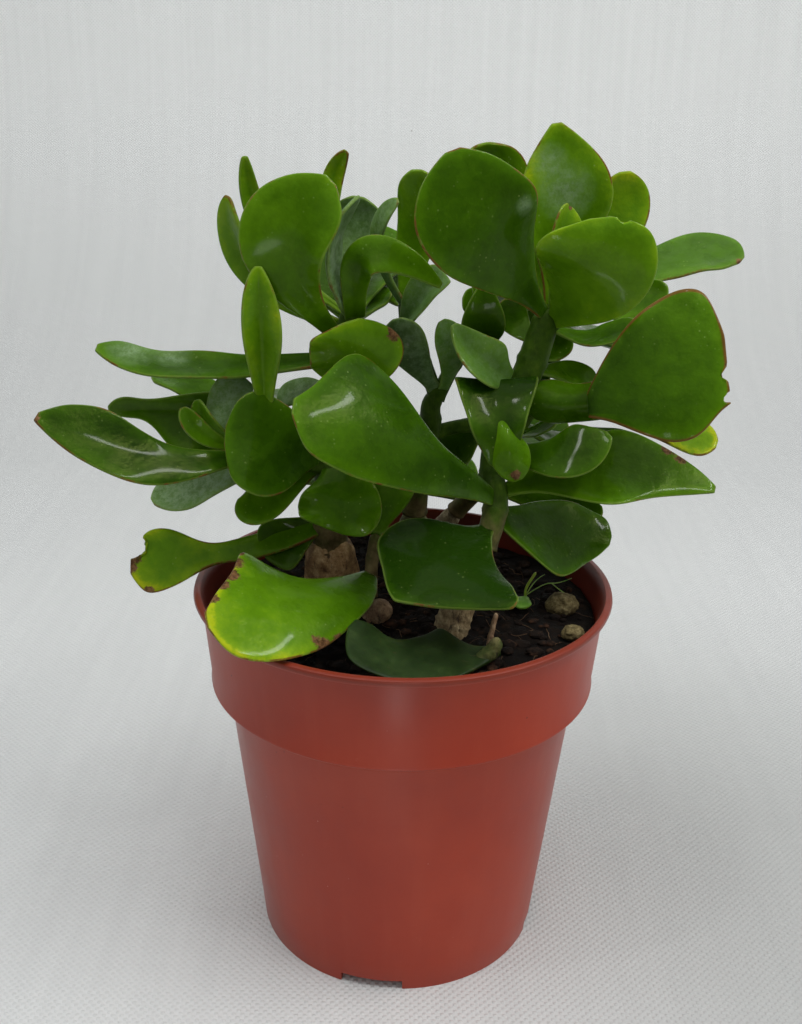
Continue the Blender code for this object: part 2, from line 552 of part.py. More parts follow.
def move_to(obj, home):
    for owner in list(obj.users_collection):
        owner.objects.unlink(obj)
    home.objects.link(obj)
    if home.name == "cutters":
        hide_helper(obj)


def make_soil(home):
    wall = inner_profile(GAP)
    rim = BAND_TOP_RADIUS - WALL_THICK - GAP - SOIL_SHOULDER
    rings = [rim * share for share in SOIL_RINGS]
    profile = [(0, SOIL_TOP_Z)] + [(r, SOIL_TOP_Z) for r in reversed(rings)]
    profile += [(rim, SOIL_TOP_Z - SOIL_SHOULDER)] + list(reversed(wall))
    soil = turned("soil", profile, home, "soil")
    for vertex in soil.data.vertices:
        x, y, z = vertex.co
        radius = math.hypot(x, y)
        if z > SOIL_TOP_Z - SOIL_SHOULDER / 2:
            coarse, fine = (noise.noise(Vector((x, y, 3 * MM)) * rate) for rate in LUMP_RATES)
            vertex.co.z += SOIL_LUMP * (coarse + 0.6 * fine) - SOIL_EDGE_DROP * (radius / rim) ** 4
    return soil


def make_stone(name, home):
    centre, size, seed = STONES[name]
    bpy.ops.mesh.primitive_ico_sphere_add(subdivisions=2, radius=1)
    stone = bpy.context.active_object
    for vertex in stone.data.vertices:
        bump = 1 + 0.16 * noise.noise(vertex.co * 1.3 + Vector((seed, 0, 0)))
        vertex.co = Vector([c * bump * s * MM for c, s in zip(vertex.co, size)])
    stone.location = Vector(centre) * MM
    stone.name = name
    move_to(stone, home)
    stone.data.materials.append(material("stone"))
    return stone


def sink_stem(soil, name, points, cutters, sides=2):
    """Gives the soil a plain hole for a stem, GAP wider all round and at its foot."""
    x, y, z, radius = points[0]
    path = [(x, y, z - HOLE_GAP, radius)] + points[1:]
    hole = tube(name + "_hole", path, cutters, grow=HOLE_GAP, sides=sides)
    hide_helper(hole)
    cut(soil, hole)


def sink_stone(soil, stone, cutters):
    """Gives the soil a hollow of the stone's own shape, GAP wider all round."""
    hole = bpy.data.objects.new(stone.name + "_hole", stone.data.copy())
    hole.location = stone.location
    hole.scale = [1 + HOLE_GAP * MM / (max(stone.dimensions) / 2)] * 3
    cutters.objects.link(hole)
    hide_helper(hole)
    cut(soil, hole)


def build():
    clear_scene()
    home = collection("potted_jade_plant")
    cutters = collection("cutters")
    make_pot(home, cutters)
    soil = make_soil(home)
    for name, points in WOOD.items():
        sides = 3 if name == "trunk_left" else 2
        trunk = tube(name, points, home, sides=sides)
        trunk.data.materials.append(material("bark"))
        sink_stem(soil, name, points, cutters, sides=sides)
    for name, stems in GREEN.items():
        pieces = [tube("%s_stem_%d" % (name, k), stem, home) for k, stem in enumerate(stems)]
        pieces += [leaf(row, home) for row in LEAVES[name]]
        fuse(name, pieces, home, "leaf")
    fallen = leaf(FALLEN_LEAF, home)
    fallen.data.materials.append(material("dull_leaf"))
    twig = tube("twig_dry", TWIG, home, step=6)
    twig.data.materials.append(material("twig"))
    sink_stem(soil, "twig_dry", TWIG, cutters)
    sprout = tube("sprout", SEEDLING_STEM, home, step=4)
    fuse("seedling", [sprout, leaf(SEEDLING_LEAF, home)], home, "leaf")
    sink_stem(soil, "seedling", SEEDLING_STEM, cutters)
    for name in STONES:
        stone = make_stone(name, home)
        sink_stone(soil, stone, cutters)


build()
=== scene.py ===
# %% [markdown]
# # A potted jade plant
#
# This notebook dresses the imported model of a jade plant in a 12 cm nursery pot. The real plant has fleshy,
# glossy leaves with waved margins on branching green stems, brown woody feet, dark peat and a thin plastic
# pot. Each step makes one real piece or one finish. The leaves matter most, so they get most of the cells.

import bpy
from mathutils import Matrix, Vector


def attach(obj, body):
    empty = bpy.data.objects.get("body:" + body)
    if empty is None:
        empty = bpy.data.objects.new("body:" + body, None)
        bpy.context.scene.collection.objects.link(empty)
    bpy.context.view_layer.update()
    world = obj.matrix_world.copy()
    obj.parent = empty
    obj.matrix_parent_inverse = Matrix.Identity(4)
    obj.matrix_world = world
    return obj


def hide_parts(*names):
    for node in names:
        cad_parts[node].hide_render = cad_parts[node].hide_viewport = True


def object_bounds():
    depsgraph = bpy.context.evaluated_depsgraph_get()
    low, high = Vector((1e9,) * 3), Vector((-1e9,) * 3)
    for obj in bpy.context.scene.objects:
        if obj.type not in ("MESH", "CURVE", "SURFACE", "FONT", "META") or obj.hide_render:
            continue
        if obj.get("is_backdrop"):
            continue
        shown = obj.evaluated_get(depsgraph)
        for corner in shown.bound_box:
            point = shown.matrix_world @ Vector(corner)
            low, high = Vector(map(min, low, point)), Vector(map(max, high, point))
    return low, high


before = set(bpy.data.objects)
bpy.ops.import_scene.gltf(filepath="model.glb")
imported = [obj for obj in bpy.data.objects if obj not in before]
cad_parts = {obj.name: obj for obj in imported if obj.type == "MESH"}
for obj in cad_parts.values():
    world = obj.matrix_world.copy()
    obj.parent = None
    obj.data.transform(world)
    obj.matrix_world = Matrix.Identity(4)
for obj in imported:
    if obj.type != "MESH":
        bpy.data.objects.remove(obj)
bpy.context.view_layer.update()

# %% Modules, units and small helpers
import math
import random

import bmesh
import bpy
from mathutils import Matrix, Vector, noise

MM = 0.001
# The full turn that random spins are drawn from, in radians
TURN = 6.28
scene = bpy.context.scene
scene.view_settings.view_transform = "Standard"


def only(obj):
    """Selects this object and nothing else, because an operator acts on all that is selected."""
    if bpy.context.mode != "OBJECT":
        bpy.ops.object.mode_set(mode="OBJECT")
    bpy.ops.object.select_all(action="DESELECT")
    obj.select_set(True)
    bpy.context.view_layer.objects.active = obj
    return obj


def apply_modifiers(obj):
    only(obj)
    for modifier in list(obj.modifiers):
        bpy.ops.object.modifier_apply(modifier=modifier.name)


def join_as(name, objects):
    """Joins objects into one and names it."""
    only(objects[0])
    for obj in objects[1:]:
        obj.select_set(True)
    if len(objects) > 1:
        bpy.ops.object.join()
    objects[0].name = name
    return objects[0]


def count_triangles(obj):
    obj.data.calc_loop_triangles()
    return len(obj.data.loop_triangles)


def stand_for(obj, slot, *nodes):
    """The piece rides with the pot and stands for the CAD nodes. The slot is not used."""
    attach(obj, "root")
    if nodes:
        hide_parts(*nodes)
    print(obj.name, "stands for", nodes, "with", count_triangles(obj), "triangles")


def dress(skin, *pieces):
    """Gives the pieces this finish and no other."""
    for piece in pieces:
        piece.data.materials.clear()
        piece.data.materials.append(skin)


# %% [markdown]
# ## Camera
#
# The camera stands where the photographer's phone was: in front of the plant, a little above it and looking
# down by about 21 degrees. It could be placed by eye, but a position worked out from the pot's rim and foot
# makes every later comparison fair.

# %% Camera
LOOK_DOWN = math.radians(21.1)
ROLL = math.radians(1.0)
DISTANCE = 340 * MM
TARGET = Vector((-1, 0, 132)) * MM
FOCAL_PIXELS = 1200
LONG_SIDE_PIXELS = 1024
SENSOR = 36

bpy.ops.object.camera_add()
camera = bpy.context.active_object
camera.name = "camera"
camera.data.sensor_width = SENSOR
camera.data.lens = FOCAL_PIXELS * SENSOR / LONG_SIDE_PIXELS
camera.data.clip_start = 0.01
forward = Vector((0, math.cos(LOOK_DOWN), -math.sin(LOOK_DOWN)))
level = Vector((1, 0, 0))
right = math.cos(ROLL) * level + math.sin(ROLL) * level.cross(forward)
up = right.cross(forward)
turn = Matrix((right, up, -forward)).transposed().to_4x4()
turn.translation = TARGET - DISTANCE * forward
camera.matrix_world = turn
scene.camera = camera
print("Camera at", [round(c * 1000) for c in turn.translation], "mm, lens", round(camera.data.lens, 1), "mm")

# %% [markdown]
# ## Finishes as node trees
#
# A finish is a small tree of shader nodes. Writing every socket by name is long, so a helper adds a node,
# sets its settings and joins its inputs in one line. An input may be a value or another node's output.


# %% Helper for node trees
class Finish:
    """A material under construction. Calls read like a recipe: finish.add(kind, input=..., setting=...)."""

    def __init__(self, name):
        self.material = bpy.data.materials.new(name)
        self.material.use_nodes = True
        self.tree = self.material.node_tree
        self.shader = self.tree.nodes["Principled BSDF"]
        self.place = self.tree.nodes.new("ShaderNodeTexCoord").outputs["Object"]

    def plug(self, socket, value):
        if isinstance(value, bpy.types.NodeSocket):
            self.tree.links.new(value, socket)
        else:
            socket.default_value = value

    def add(self, kind, output=0, inputs=None, **settings):
        node = self.tree.nodes.new("ShaderNode" + kind)
        for key, value in settings.items():
            setattr(node, key, value)
        for key, value in (inputs or {}).items():
            self.plug(node.inputs[key], value)
        return node.outputs[output]

    def noise(self, scale, detail=4, rough=0.6, stretch=None, warp=0.0):
        """Noise from 0 to 1 on the object's own coordinates. The stretch divides its size on each axis."""
        place = self.place
        if stretch:
            place = self.add("Mapping", inputs={"Vector": place, "Scale": stretch})
        inputs = {"Vector": place, "Scale": scale, "Detail": detail, "Roughness": rough, "Distortion": warp}
        return self.add("TexNoise", inputs=inputs)

    def cells(self, scale, feature="F1"):
        return self.add("TexVoronoi", inputs={"Vector": self.place, "Scale": scale}, feature=feature)

    def maths(self, operation, a, b=0.0, c=0.0):
        return self.add("Math", operation=operation, inputs={0: a, 1: b, 2: c})

    def steps(self, value, low, high, start=0.0, end=1.0):
        """Runs smoothly from start to end as the value goes from low to high."""
        return self.add(
            "MapRange",
            interpolation_type="SMOOTHSTEP",
            inputs={"Value": value, "From Min": low, "From Max": high, "To Min": start, "To Max": end},
        )

    def blend(self, share, first, second):
        node = self.tree.nodes.new("ShaderNodeMix")
        node.data_type = "RGBA"
        self.plug(node.inputs["Factor"], share)
        self.plug(node.inputs[6], first)
        self.plug(node.inputs[7], second)
        return node.outputs[2]

    def attribute(self, name):
        return self.add("Attribute", output="Fac", attribute_name=name)

    def ramp(self, value, *stops):
        """A colour ramp. Each stop is (position, colour)."""
        node = self.tree.nodes.new("ShaderNodeValToRGB")
        self.plug(node.inputs["Fac"], value)
        bar = node.color_ramp
        while len(bar.elements) < len(stops):
            bar.elements.new(0.5)
        for element, (position, colour) in zip(bar.elements, stops):
            element.position = position
            element.color = (*colour, 1)
        return node.outputs["Color"]

    def height(self, value, depth, below=None):
        """A bump: value from 0 to 1 stands for a height of depth metres."""
        inputs = {"Height": value, "Distance": depth, "Strength": 1.0}
        if below is not None:
            inputs["Normal"] = below
        return self.add("Bump", inputs=inputs)

    def finish(self, colour, rough, normal=None, **uniform):
        self.plug(self.shader.inputs["Base Color"], colour)
        self.plug(self.shader.inputs["Roughness"], rough)
        if normal is not None:
            self.plug(self.shader.inputs["Normal"], normal)
        for key, value in uniform.items():
            self.shader.inputs[key.replace("_", " ")].default_value = value
        return self.material


# %% [markdown]
# ## Floor and backdrop
#
# The plant stands on a sheet of pale, finely embossed cloth that runs up behind it with no corner. A plane
# whose back edge is extruded along a curve gives the same seamless sweep. It is stage, not part of the
# object.

# %% Sweep
SWEEP_HALF = 900 * MM
SWEEP_BACK = 420 * MM
SWEEP_BEND = 260 * MM
SWEEP_WALL = 1200 * MM
BEND_STEPS = 12
SAME_PLACE = 1e-6

bpy.ops.mesh.primitive_plane_add(size=2 * SWEEP_HALF, location=(0, SWEEP_BACK - SWEEP_HALF, 0))
sweep = bpy.context.active_object
sweep.name = "sweep"
bpy.ops.object.transform_apply(location=True)
bpy.ops.object.mode_set(mode="EDIT")
bpy.ops.mesh.select_mode(type="EDGE")
bpy.ops.mesh.select_all(action="DESELECT")
edit = bmesh.from_edit_mesh(sweep.data)
for edge in edit.edges:
    edge.select = all(abs(v.co.y - SWEEP_BACK) < SAME_PLACE for v in edge.verts)
bmesh.update_edit_mesh(sweep.data)
for k in range(BEND_STEPS):
    a, b = (math.pi / 2 * step / BEND_STEPS for step in (k, k + 1))
    move = (0, SWEEP_BEND * (math.sin(b) - math.sin(a)), SWEEP_BEND * (math.cos(a) - math.cos(b)))
    bpy.ops.mesh.extrude_region_move(TRANSFORM_OT_translate={"value": move})
bpy.ops.mesh.extrude_region_move(TRANSFORM_OT_translate={"value": (0, 0, SWEEP_WALL)})
bpy.ops.object.mode_set(mode="OBJECT")
bpy.ops.object.shade_smooth()
sweep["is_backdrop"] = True

cloth = Finish("pale_cloth")
DOT_SPACING = 2.5 * MM
x, y, z = (cloth.add("SeparateXYZ", output=axis, inputs={0: cloth.place}) for axis in range(3))
turn_rate = 2 * math.pi / DOT_SPACING
across = cloth.maths("SINE", cloth.maths("MULTIPLY", x, turn_rate))
# Up the sheet, y passes into z, so their sum runs on without a break.
along = cloth.maths("SINE", cloth.maths("MULTIPLY", cloth.maths("ADD", y, z), turn_rate))
dots = cloth.steps(cloth.maths("MULTIPLY", across, along), -0.2, 0.9)
streaks = cloth.noise(9, detail=5, stretch=(16, 1, 0.5))
# The sheet is painted lighter from the floor up to 270 mm: painted light, so the wall is brighter than the
# floor.
low = cloth.ramp(streaks, (0.35, (0.62, 0.63, 0.622)), (0.65, (0.645, 0.655, 0.645)))
high = cloth.ramp(streaks, (0.35, (0.87, 0.885, 0.87)), (0.65, (0.91, 0.925, 0.91)))
tint = cloth.blend(cloth.steps(z, -1 * MM, 270 * MM), low, high)
# Painted shade: the floor darkens towards the right front.
floor_painted_shade = cloth.maths("MULTIPLY", cloth.steps(x, 0, 120 * MM), cloth.steps(y, 0, 280 * MM, 0.5, 0.0))
tint = cloth.blend(floor_painted_shade, tint, (0.25, 0.255, 0.245, 1))
tint = cloth.blend(cloth.maths("MULTIPLY", dots, 0.17), tint, (0.5, 0.51, 0.5, 1))
dirt = cloth.steps(cloth.cells(16), 0.012, 0.02, 0.7, 0.0)
tint = cloth.blend(dirt, tint, (0.2, 0.19, 0.17, 1))
dress(cloth.finish(tint, 0.9, cloth.height(dots, 0.2 * MM)), sweep)
print("Sweep with", len(sweep.data.polygons), "faces")

# %% [markdown]
# ## Light
#
# The picture was taken in soft window light from above. A large panel over the plant and another at its right
# light it softly, but are hidden from reflections, because their mirror images would lie on the leaves as
# pale patches. The crisp streaks on the glossiest leaves come from a long thin lamp high up, two small lamps
# and a low one in front. The faint upright sheen on the pot's band comes from a thin panel on the cloth.


# %% Light
def panel(name, place, size, power, colour):
    bpy.ops.object.light_add(type="AREA", location=Vector(place) * MM)
    light = bpy.context.active_object
    light.name = name
    light.data.shape = "RECTANGLE"
    light.data.size, light.data.size_y = (side * MM for side in size)
    light.data.energy = power
    light.data.color = colour
    light.rotation_euler = (TARGET - Vector(place) * MM).to_track_quat("-Z", "Y").to_euler()
    print(name, power, "W from", place)
    return light


window = panel("window_above", (-130, -60, 900), (640, 420), 2.8, (0.98, 0.99, 1.0))
panel("window_low", (20, -620, 40), (60, 120), 0.16, (1.0, 1.0, 1.0))
panel("lamp_strip", (430, -165, 800), (540, 40), 2.4, (1.0, 1.0, 1.0))
panel("lamp_left", (-330, -260, 820), (50, 50), 0.3, (1.0, 1.0, 1.0))
panel("floor_glint", (-5, -125, 1.5), (9, 80), 0.012, (1.0, 1.0, 1.0))
panel("lamp_front", (54, -310, 860), (60, 60), 0.3, (1.0, 1.0, 1.0))
bounce = panel("bounce_right", (640, -160, 110), (420, 420), 1.15, (1.0, 0.98, 0.95))
window.visible_glossy = bounce.visible_glossy = False

# %% [markdown]
# The room is bright overhead and dim near the floor. So the world is a gradient: the leaves that look up are
# bright, and those that face the camera stay deep green.

# %% Sky
SKY_DIM = 0.1
SKY_BRIGHT = 0.67

world = bpy.data.worlds.new("room")
scene.world = world
world.use_nodes = True
nodes, links = world.node_tree.nodes, world.node_tree.links
direction = nodes.new("ShaderNodeSeparateXYZ")
links.new(nodes.new("ShaderNodeTexCoord").outputs["Generated"], direction.inputs[0])
rise = nodes.new("ShaderNodeMapRange")
rise.interpolation_type = "SMOOTHSTEP"
for key, value in {"From Min": -0.1, "From Max": 0.9, "To Min": SKY_DIM, "To Max": SKY_BRIGHT}.items():
    rise.inputs[key].default_value = value
links.new(direction.outputs["Z"], rise.inputs["Value"])
links.new(rise.outputs["Result"], nodes["Background"].inputs["Strength"])
nodes["Background"].inputs["Color"].default_value = (0.97, 0.985, 1.0, 1)
print("Sky from", SKY_DIM, "to", SKY_BRIGHT)

# %% [markdown]
# ## The pot
#
# A nursery pot is blown or moulded from thin plastic: a tapered wall, a wider band with a lip, and a foot
# that stands on a ring and a flat centre. One disc is enough to model it. The disc is extruded again and
# again, and each time it is scaled and moved to the next place on the pot's section, up the outside, over
# the lip and down the inside, where it stays as the inner floor. A Screw on a profile would do the same,
# but here every ring can be followed by eye.

# %% Pot: rings from the foot to the inner floor
POT_SIDES = 144
LIP_Z = 111
HUB_RADIUS = 20
FOOT_RADIUS = 42.2
# Rings as (radius, height) in mm: the hollow base and the foot, the wall, the bead under the band, the
# band, the lip
OUTSIDE = [
    (22, 3), (39.6, 3), (39.6, 0), (FOOT_RADIUS, 0),
    (43.1, 9), (47.6, 50), (51.1, 81.5),
    (55.3, 82.4), (55.9, 82.9), (55.95, 83.6), (55.6, 84.5),
    (57.8, 108.2), (59.7, 109.1),
    (60.0, 109.9), (59.8, 110.7), (59.2, LIP_Z), (58.1, LIP_Z), (57.3, 109.8),
]
INSIDE = [(56.5, 108), (54.0, 84.2), (49.6, 83.4), (41.0, 5.2), (40.4, 4.5), (21, 4.5), (18.5, 1.5)]


def trace_rings(start, rings):
    """Extrudes the selected cap along the rings, each a (radius, height) in mm."""
    radius, z = start
    for next_radius, next_z in rings:
        bpy.ops.mesh.extrude_region_move(TRANSFORM_OT_translate={"value": (0, 0, (next_z - z) * MM)})
        share = next_radius / radius
        bpy.ops.transform.resize(value=(share, share, 1), center_override=(0, 0, next_z * MM))
        radius, z = next_radius, next_z


bpy.ops.mesh.primitive_circle_add(vertices=POT_SIDES, radius=HUB_RADIUS * MM, fill_type="NGON")
pot = bpy.context.active_object
pot.name = "nursery_pot"
bpy.ops.object.mode_set(mode="EDIT")
bpy.ops.mesh.select_all(action="SELECT")
trace_rings((HUB_RADIUS, 0), OUTSIDE + INSIDE)
bpy.ops.mesh.select_all(action="SELECT")
bpy.ops.mesh.normals_make_consistent(inside=False)
bpy.ops.object.mode_set(mode="OBJECT")
print("Pot traced with", len(pot.data.polygons), "faces")

# %% [markdown]
# Four notches in the foot let water out, and holes in the base let it through. They are cut with cubes and
# cylinders, which are deleted afterwards, and a narrow bevel rounds every sharp edge as moulding does.

# %% Pot: notches, holes and rounded edges
NOTCH_ANGLE = math.radians(-100)
NOTCHES = 4
NOTCH_SIZE = (8, 18, 6)
DRAIN_RADIUS = 3
DRAIN_CIRCLE = 30
DRAINS = 8
DRAIN_MIDDLE_Z = 4
DRAIN_CUT = 8
EDGE_ROUND = 0.45


def cut_away(obj, cutter):
    saw = obj.modifiers.new("cut", "BOOLEAN")
    saw.operation = "DIFFERENCE"
    saw.solver = "EXACT"
    saw.object = cutter
    apply_modifiers(obj)
    bpy.data.objects.remove(cutter)


for k in range(NOTCHES):
    angle = NOTCH_ANGLE + k * 2 * math.pi / NOTCHES
    place = Vector((FOOT_RADIUS * math.cos(angle), FOOT_RADIUS * math.sin(angle), 0)) * MM
    size = Vector(NOTCH_SIZE) * MM
    bpy.ops.mesh.primitive_cube_add(size=1, location=place, rotation=(0, 0, angle), scale=size)
    cut_away(pot, bpy.context.active_object)
for k in range(DRAINS):
    angle = NOTCH_ANGLE + 2 * math.pi * (k + 0.5) / DRAINS
    place = Vector((DRAIN_CIRCLE * math.cos(angle), DRAIN_CIRCLE * math.sin(angle), DRAIN_MIDDLE_Z)) * MM
    bpy.ops.mesh.primitive_cylinder_add(
        vertices=24, radius=DRAIN_RADIUS * MM, depth=DRAIN_CUT * MM, location=place
    )
    cut_away(pot, bpy.context.active_object)

rounding = pot.modifiers.new("rounding", "BEVEL")
rounding.width = EDGE_ROUND * MM
rounding.segments = 3
rounding.limit_method = "ANGLE"
rounding.angle_limit = math.radians(40)
apply_modifiers(pot)
only(pot)
bpy.ops.object.shade_smooth_by_angle(angle=math.radians(35))
stand_for(pot, "pot", "pot")

# %% [markdown]
# The plastic is a satin red-brown. It isn't even: the colour has faint upright streaks from the mould, pale
# scuffs, tiny dark specks and pale grit, and the lip and the inner wall are darkened with painted shade.
# Streaks come from noise that is stretched along the height, and specks from the small cells of a Voronoi
# texture, of which only a few show.

# %% Pot: satin plastic
WALL_LEAN = 0.1
CONE_RADIUS = 46.85
plastic = Finish("terracotta_plastic")
clouds = plastic.noise(26, detail=5)
streaks = plastic.noise(160, detail=4, stretch=(1, 1, 0.06))
scuffs = plastic.noise(420, detail=6, rough=0.75)
tint = plastic.ramp(
    clouds, (0.3, (0.27, 0.024, 0.008)), (0.55, (0.31, 0.031, 0.01)), (0.75, (0.35, 0.04, 0.014))
)
tint = plastic.blend(plastic.steps(streaks, 0.45, 0.75, 0.0, 0.16), tint, (0.4, 0.07, 0.035, 1))
rare = plastic.steps(plastic.noise(75, detail=2), 0.62, 0.72)
marks = plastic.maths("MULTIPLY", plastic.steps(scuffs, 0.6, 0.68), rare)
tint = plastic.blend(plastic.maths("MULTIPLY", marks, 0.3), tint, (0.5, 0.2, 0.14, 1))
specks = plastic.steps(plastic.cells(190), 0.045, 0.07, 1.0, 0.0)
specks = plastic.maths("MULTIPLY", specks, plastic.steps(plastic.noise(120, detail=1), 0.58, 0.62))
tint = plastic.blend(plastic.maths("MULTIPLY", specks, 0.8), tint, (0.05, 0.012, 0.006, 1))
# The inner wall is darkened with painted shade. Its surface lies inside a cone that leans out by WALL_LEAN
# and has the radius CONE_RADIUS at the foot.
x, y, z = (plastic.add("SeparateXYZ", output=axis, inputs={0: plastic.place}) for axis in range(3))
squares = plastic.maths("ADD", plastic.maths("MULTIPLY", x, x), plastic.maths("MULTIPLY", y, y))
radius = plastic.maths("SQRT", squares)
cone = plastic.maths("MULTIPLY_ADD", z, WALL_LEAN, CONE_RADIUS * MM)
inside = plastic.steps(plastic.maths("SUBTRACT", radius, cone), -0.4 * MM, 0.2 * MM, 0.75, 0.0)
inside = plastic.maths("MULTIPLY", inside, plastic.steps(z, 82.6 * MM, 83.2 * MM))
tint = plastic.blend(inside, tint, (0.09, 0.014, 0.007, 1))
# The top of the lip is darkened with painted shade, to tone down the light it catches from above.
lip_painted_shade = plastic.steps(z, 109 * MM, 109.9 * MM, 0.0, 0.65)
tint = plastic.blend(lip_painted_shade, tint, (0.14, 0.024, 0.012, 1))
grit = plastic.steps(plastic.cells(230), 0.03, 0.05, 1.0, 0.0)
grit = plastic.maths("MULTIPLY", grit, plastic.steps(plastic.noise(90, detail=2), 0.52, 0.6, 0.0, 0.6))
tint = plastic.blend(grit, tint, (0.55, 0.3, 0.24, 1))
gloss = plastic.steps(clouds, 0.3, 0.7, 0.3, 0.4)
gloss = plastic.maths("ADD", gloss, plastic.maths("MULTIPLY", marks, 0.25))
relief = plastic.height(plastic.noise(900, detail=3), 0.02 * MM)
relief = plastic.height(plastic.noise(60, detail=2, stretch=(1, 1, 0.25)), 0.25 * MM, below=relief)
dress(plastic.finish(tint, gloss, relief, Specular_IOR_Level=0.34), pot)
print("Pot finish has", len(plastic.tree.nodes), "nodes")

# %% [markdown]
# ## The soil
#
# Peat fills the pot to about 7 mm below the lip. The same tracing of rings gives its body, and the top is
# inset ring after ring so that it has faces enough to be lumpy. The lumps are four sizes of noise added up.

# %% Soil: body and lumpy top
SOIL_SIDES = 96
SOIL_FOOT = (18, 1.8)
SOIL_RIM = (55.3, 103.0)
SOIL_RINGS = [(20, 4.6), (40.3, 4.7), (40.8, 6), (49.2, 84), (53.6, 84.8), SOIL_RIM]
TOP_RINGS = 24


def soil_height(x, y):
    """How far the soil stands above its plain level, in mm, at a place in mm."""
    place = Vector((x, y, 0))
    height = 1.9 * noise.noise(place * 0.09 + Vector((0, 0, 3)))
    height += 1.2 * noise.noise(place * 0.23 + Vector((0, 0, 9)))
    height += 0.8 * noise.noise(place * 0.7) + 0.45 * noise.noise(place * 1.7)
    edge = (place.length / SOIL_RIM[0]) ** 4
    return 1 + height * (1 - 0.7 * edge) - 1.4 * edge


bpy.ops.mesh.primitive_circle_add(
    vertices=SOIL_SIDES, radius=SOIL_FOOT[0] * MM, fill_type="NGON", location=(0, 0, SOIL_FOOT[1] * MM)
)
soil = bpy.context.active_object
soil.name = "peat"
bpy.ops.object.transform_apply(location=True)
bpy.ops.object.mode_set(mode="EDIT")
bpy.ops.mesh.select_all(action="SELECT")
trace_rings(SOIL_FOOT, SOIL_RINGS)
bpy.ops.mesh.select_mode(type="FACE")
for k in range(TOP_RINGS):
    bpy.ops.mesh.inset(thickness=SOIL_RIM[0] / (TOP_RINGS + 1) * MM, use_even_offset=False)
bpy.ops.mesh.poke()
bpy.ops.mesh.select_all(action="SELECT")
bpy.ops.mesh.normals_make_consistent(inside=False)
bpy.ops.object.mode_set(mode="OBJECT")
finer = soil.modifiers.new("finer", "SUBSURF")
finer.subdivision_type = "SIMPLE"
finer.levels = finer.render_levels = 1
apply_modifiers(soil)
for vertex in soil.data.vertices:
    if vertex.co.z > (SOIL_RIM[1] - 0.5) * MM:
        vertex.co.z += soil_height(vertex.co.x / MM, vertex.co.y / MM) * MM
bpy.ops.object.shade_smooth()
stand_for(soil, "soil", "soil")

# %% [markdown]
# Crumbs and fibres make peat look like peat. One crumb is modelled from an icosphere whose corners are pushed
# about, and is copied over the surface with a seeded random rule. The fibres are short bent curves.

# %% Soil: crumbs
random.seed(7)
CRUMBS = 900
# Sizes in mm. The commonest is named twice.
CRUMB_SIZES = (0.35, 0.5, 0.8, 0.8, 1.3, 1.8)


def scatter_place(reach=52.5):
    """A random place on the soil, as likely on one square millimetre as on another."""
    angle, radius = random.uniform(0, 2 * math.pi), reach * math.sqrt(random.random())
    return radius * math.cos(angle), radius * math.sin(angle)


bpy.ops.mesh.primitive_ico_sphere_add(subdivisions=2, radius=1)
crumb = bpy.context.active_object
bpy.ops.object.mode_set(mode="EDIT")
bpy.ops.transform.vertex_random(offset=0.22, seed=3)
bpy.ops.object.mode_set(mode="OBJECT")
crumb_shape = [v.co.copy() for v in crumb.data.vertices]
copies = []
for k in range(CRUMBS):
    x, y = scatter_place()
    size = random.choice(CRUMB_SIZES) * random.uniform(0.7, 1.2)
    place = Vector((x, y, SOIL_RIM[1] + soil_height(x, y) + 0.2 * size))
    spin = Matrix.Rotation(random.uniform(0, TURN), 3, "Z") @ Matrix.Rotation(random.uniform(0, TURN), 3, "X")
    squash = Vector((random.uniform(0.8, 1.5), 1, random.uniform(0.5, 0.9)))
    piece = crumb.copy()
    piece.data = crumb.data.copy()
    scene.collection.objects.link(piece)
    for vertex, co in zip(piece.data.vertices, crumb_shape):
        vertex.co = (place + size * (squash * (spin @ co))) * MM
    copies.append(piece)
bpy.data.objects.remove(crumb)
crumbs = join_as("peat_crumbs", copies)
stand_for(crumbs, "soil")

# %% Soil: fibres
FIBRES = 150
FIBRE_RADIUS = 0.09
FIBRE_REACH = 49
FIBRE_STEPS = 4


def thin_threads(name, threads, radius, sides=1):
    """One mesh of round threads. A thread is a list of places in mm."""
    curve = bpy.data.curves.new(name, "CURVE")
    curve.dimensions = "3D"
    curve.bevel_depth = radius * MM
    curve.bevel_resolution = sides
    curve.use_fill_caps = True
    curve.resolution_u = 3
    for thread in threads:
        spline = curve.splines.new("NURBS")
        spline.points.add(len(thread) - 1)
        spline.order_u = 3
        spline.use_endpoint_u = True
        for k, (point, place) in enumerate(zip(spline.points, thread)):
            point.co = (*(c * MM for c in place), 1)
            point.radius = 1 if k < len(thread) - 1 else 0.5
    obj = bpy.data.objects.new(name, curve)
    scene.collection.objects.link(obj)
    only(obj)
    bpy.ops.object.convert(target="MESH")
    obj = bpy.context.active_object
    bpy.ops.object.shade_smooth()
    return obj


threads = []
for k in range(FIBRES):
    x, y = scatter_place(FIBRE_REACH)
    heading, length = random.uniform(0, TURN), random.uniform(2, 9)
    thread = []
    for step in range(FIBRE_STEPS + 1):
        lift = random.uniform(0.0, 0.8) if 0 < step < FIBRE_STEPS else 0.05
        thread.append((x, y, SOIL_RIM[1] + soil_height(x, y) + lift))
        heading += random.uniform(-0.7, 0.7)
        x += length / FIBRE_STEPS * math.cos(heading)
        y += length / FIBRE_STEPS * math.sin(heading)
    threads.append(thread)
fibres = thin_threads("peat_fibres", threads, FIBRE_RADIUS)
stand_for(fibres, "soil")

# %% [markdown]
# Damp peat is nearly black, with brown crumbs in it. The crumbs and fibres take colours from the same
# family, so one recipe with other colours serves all three.


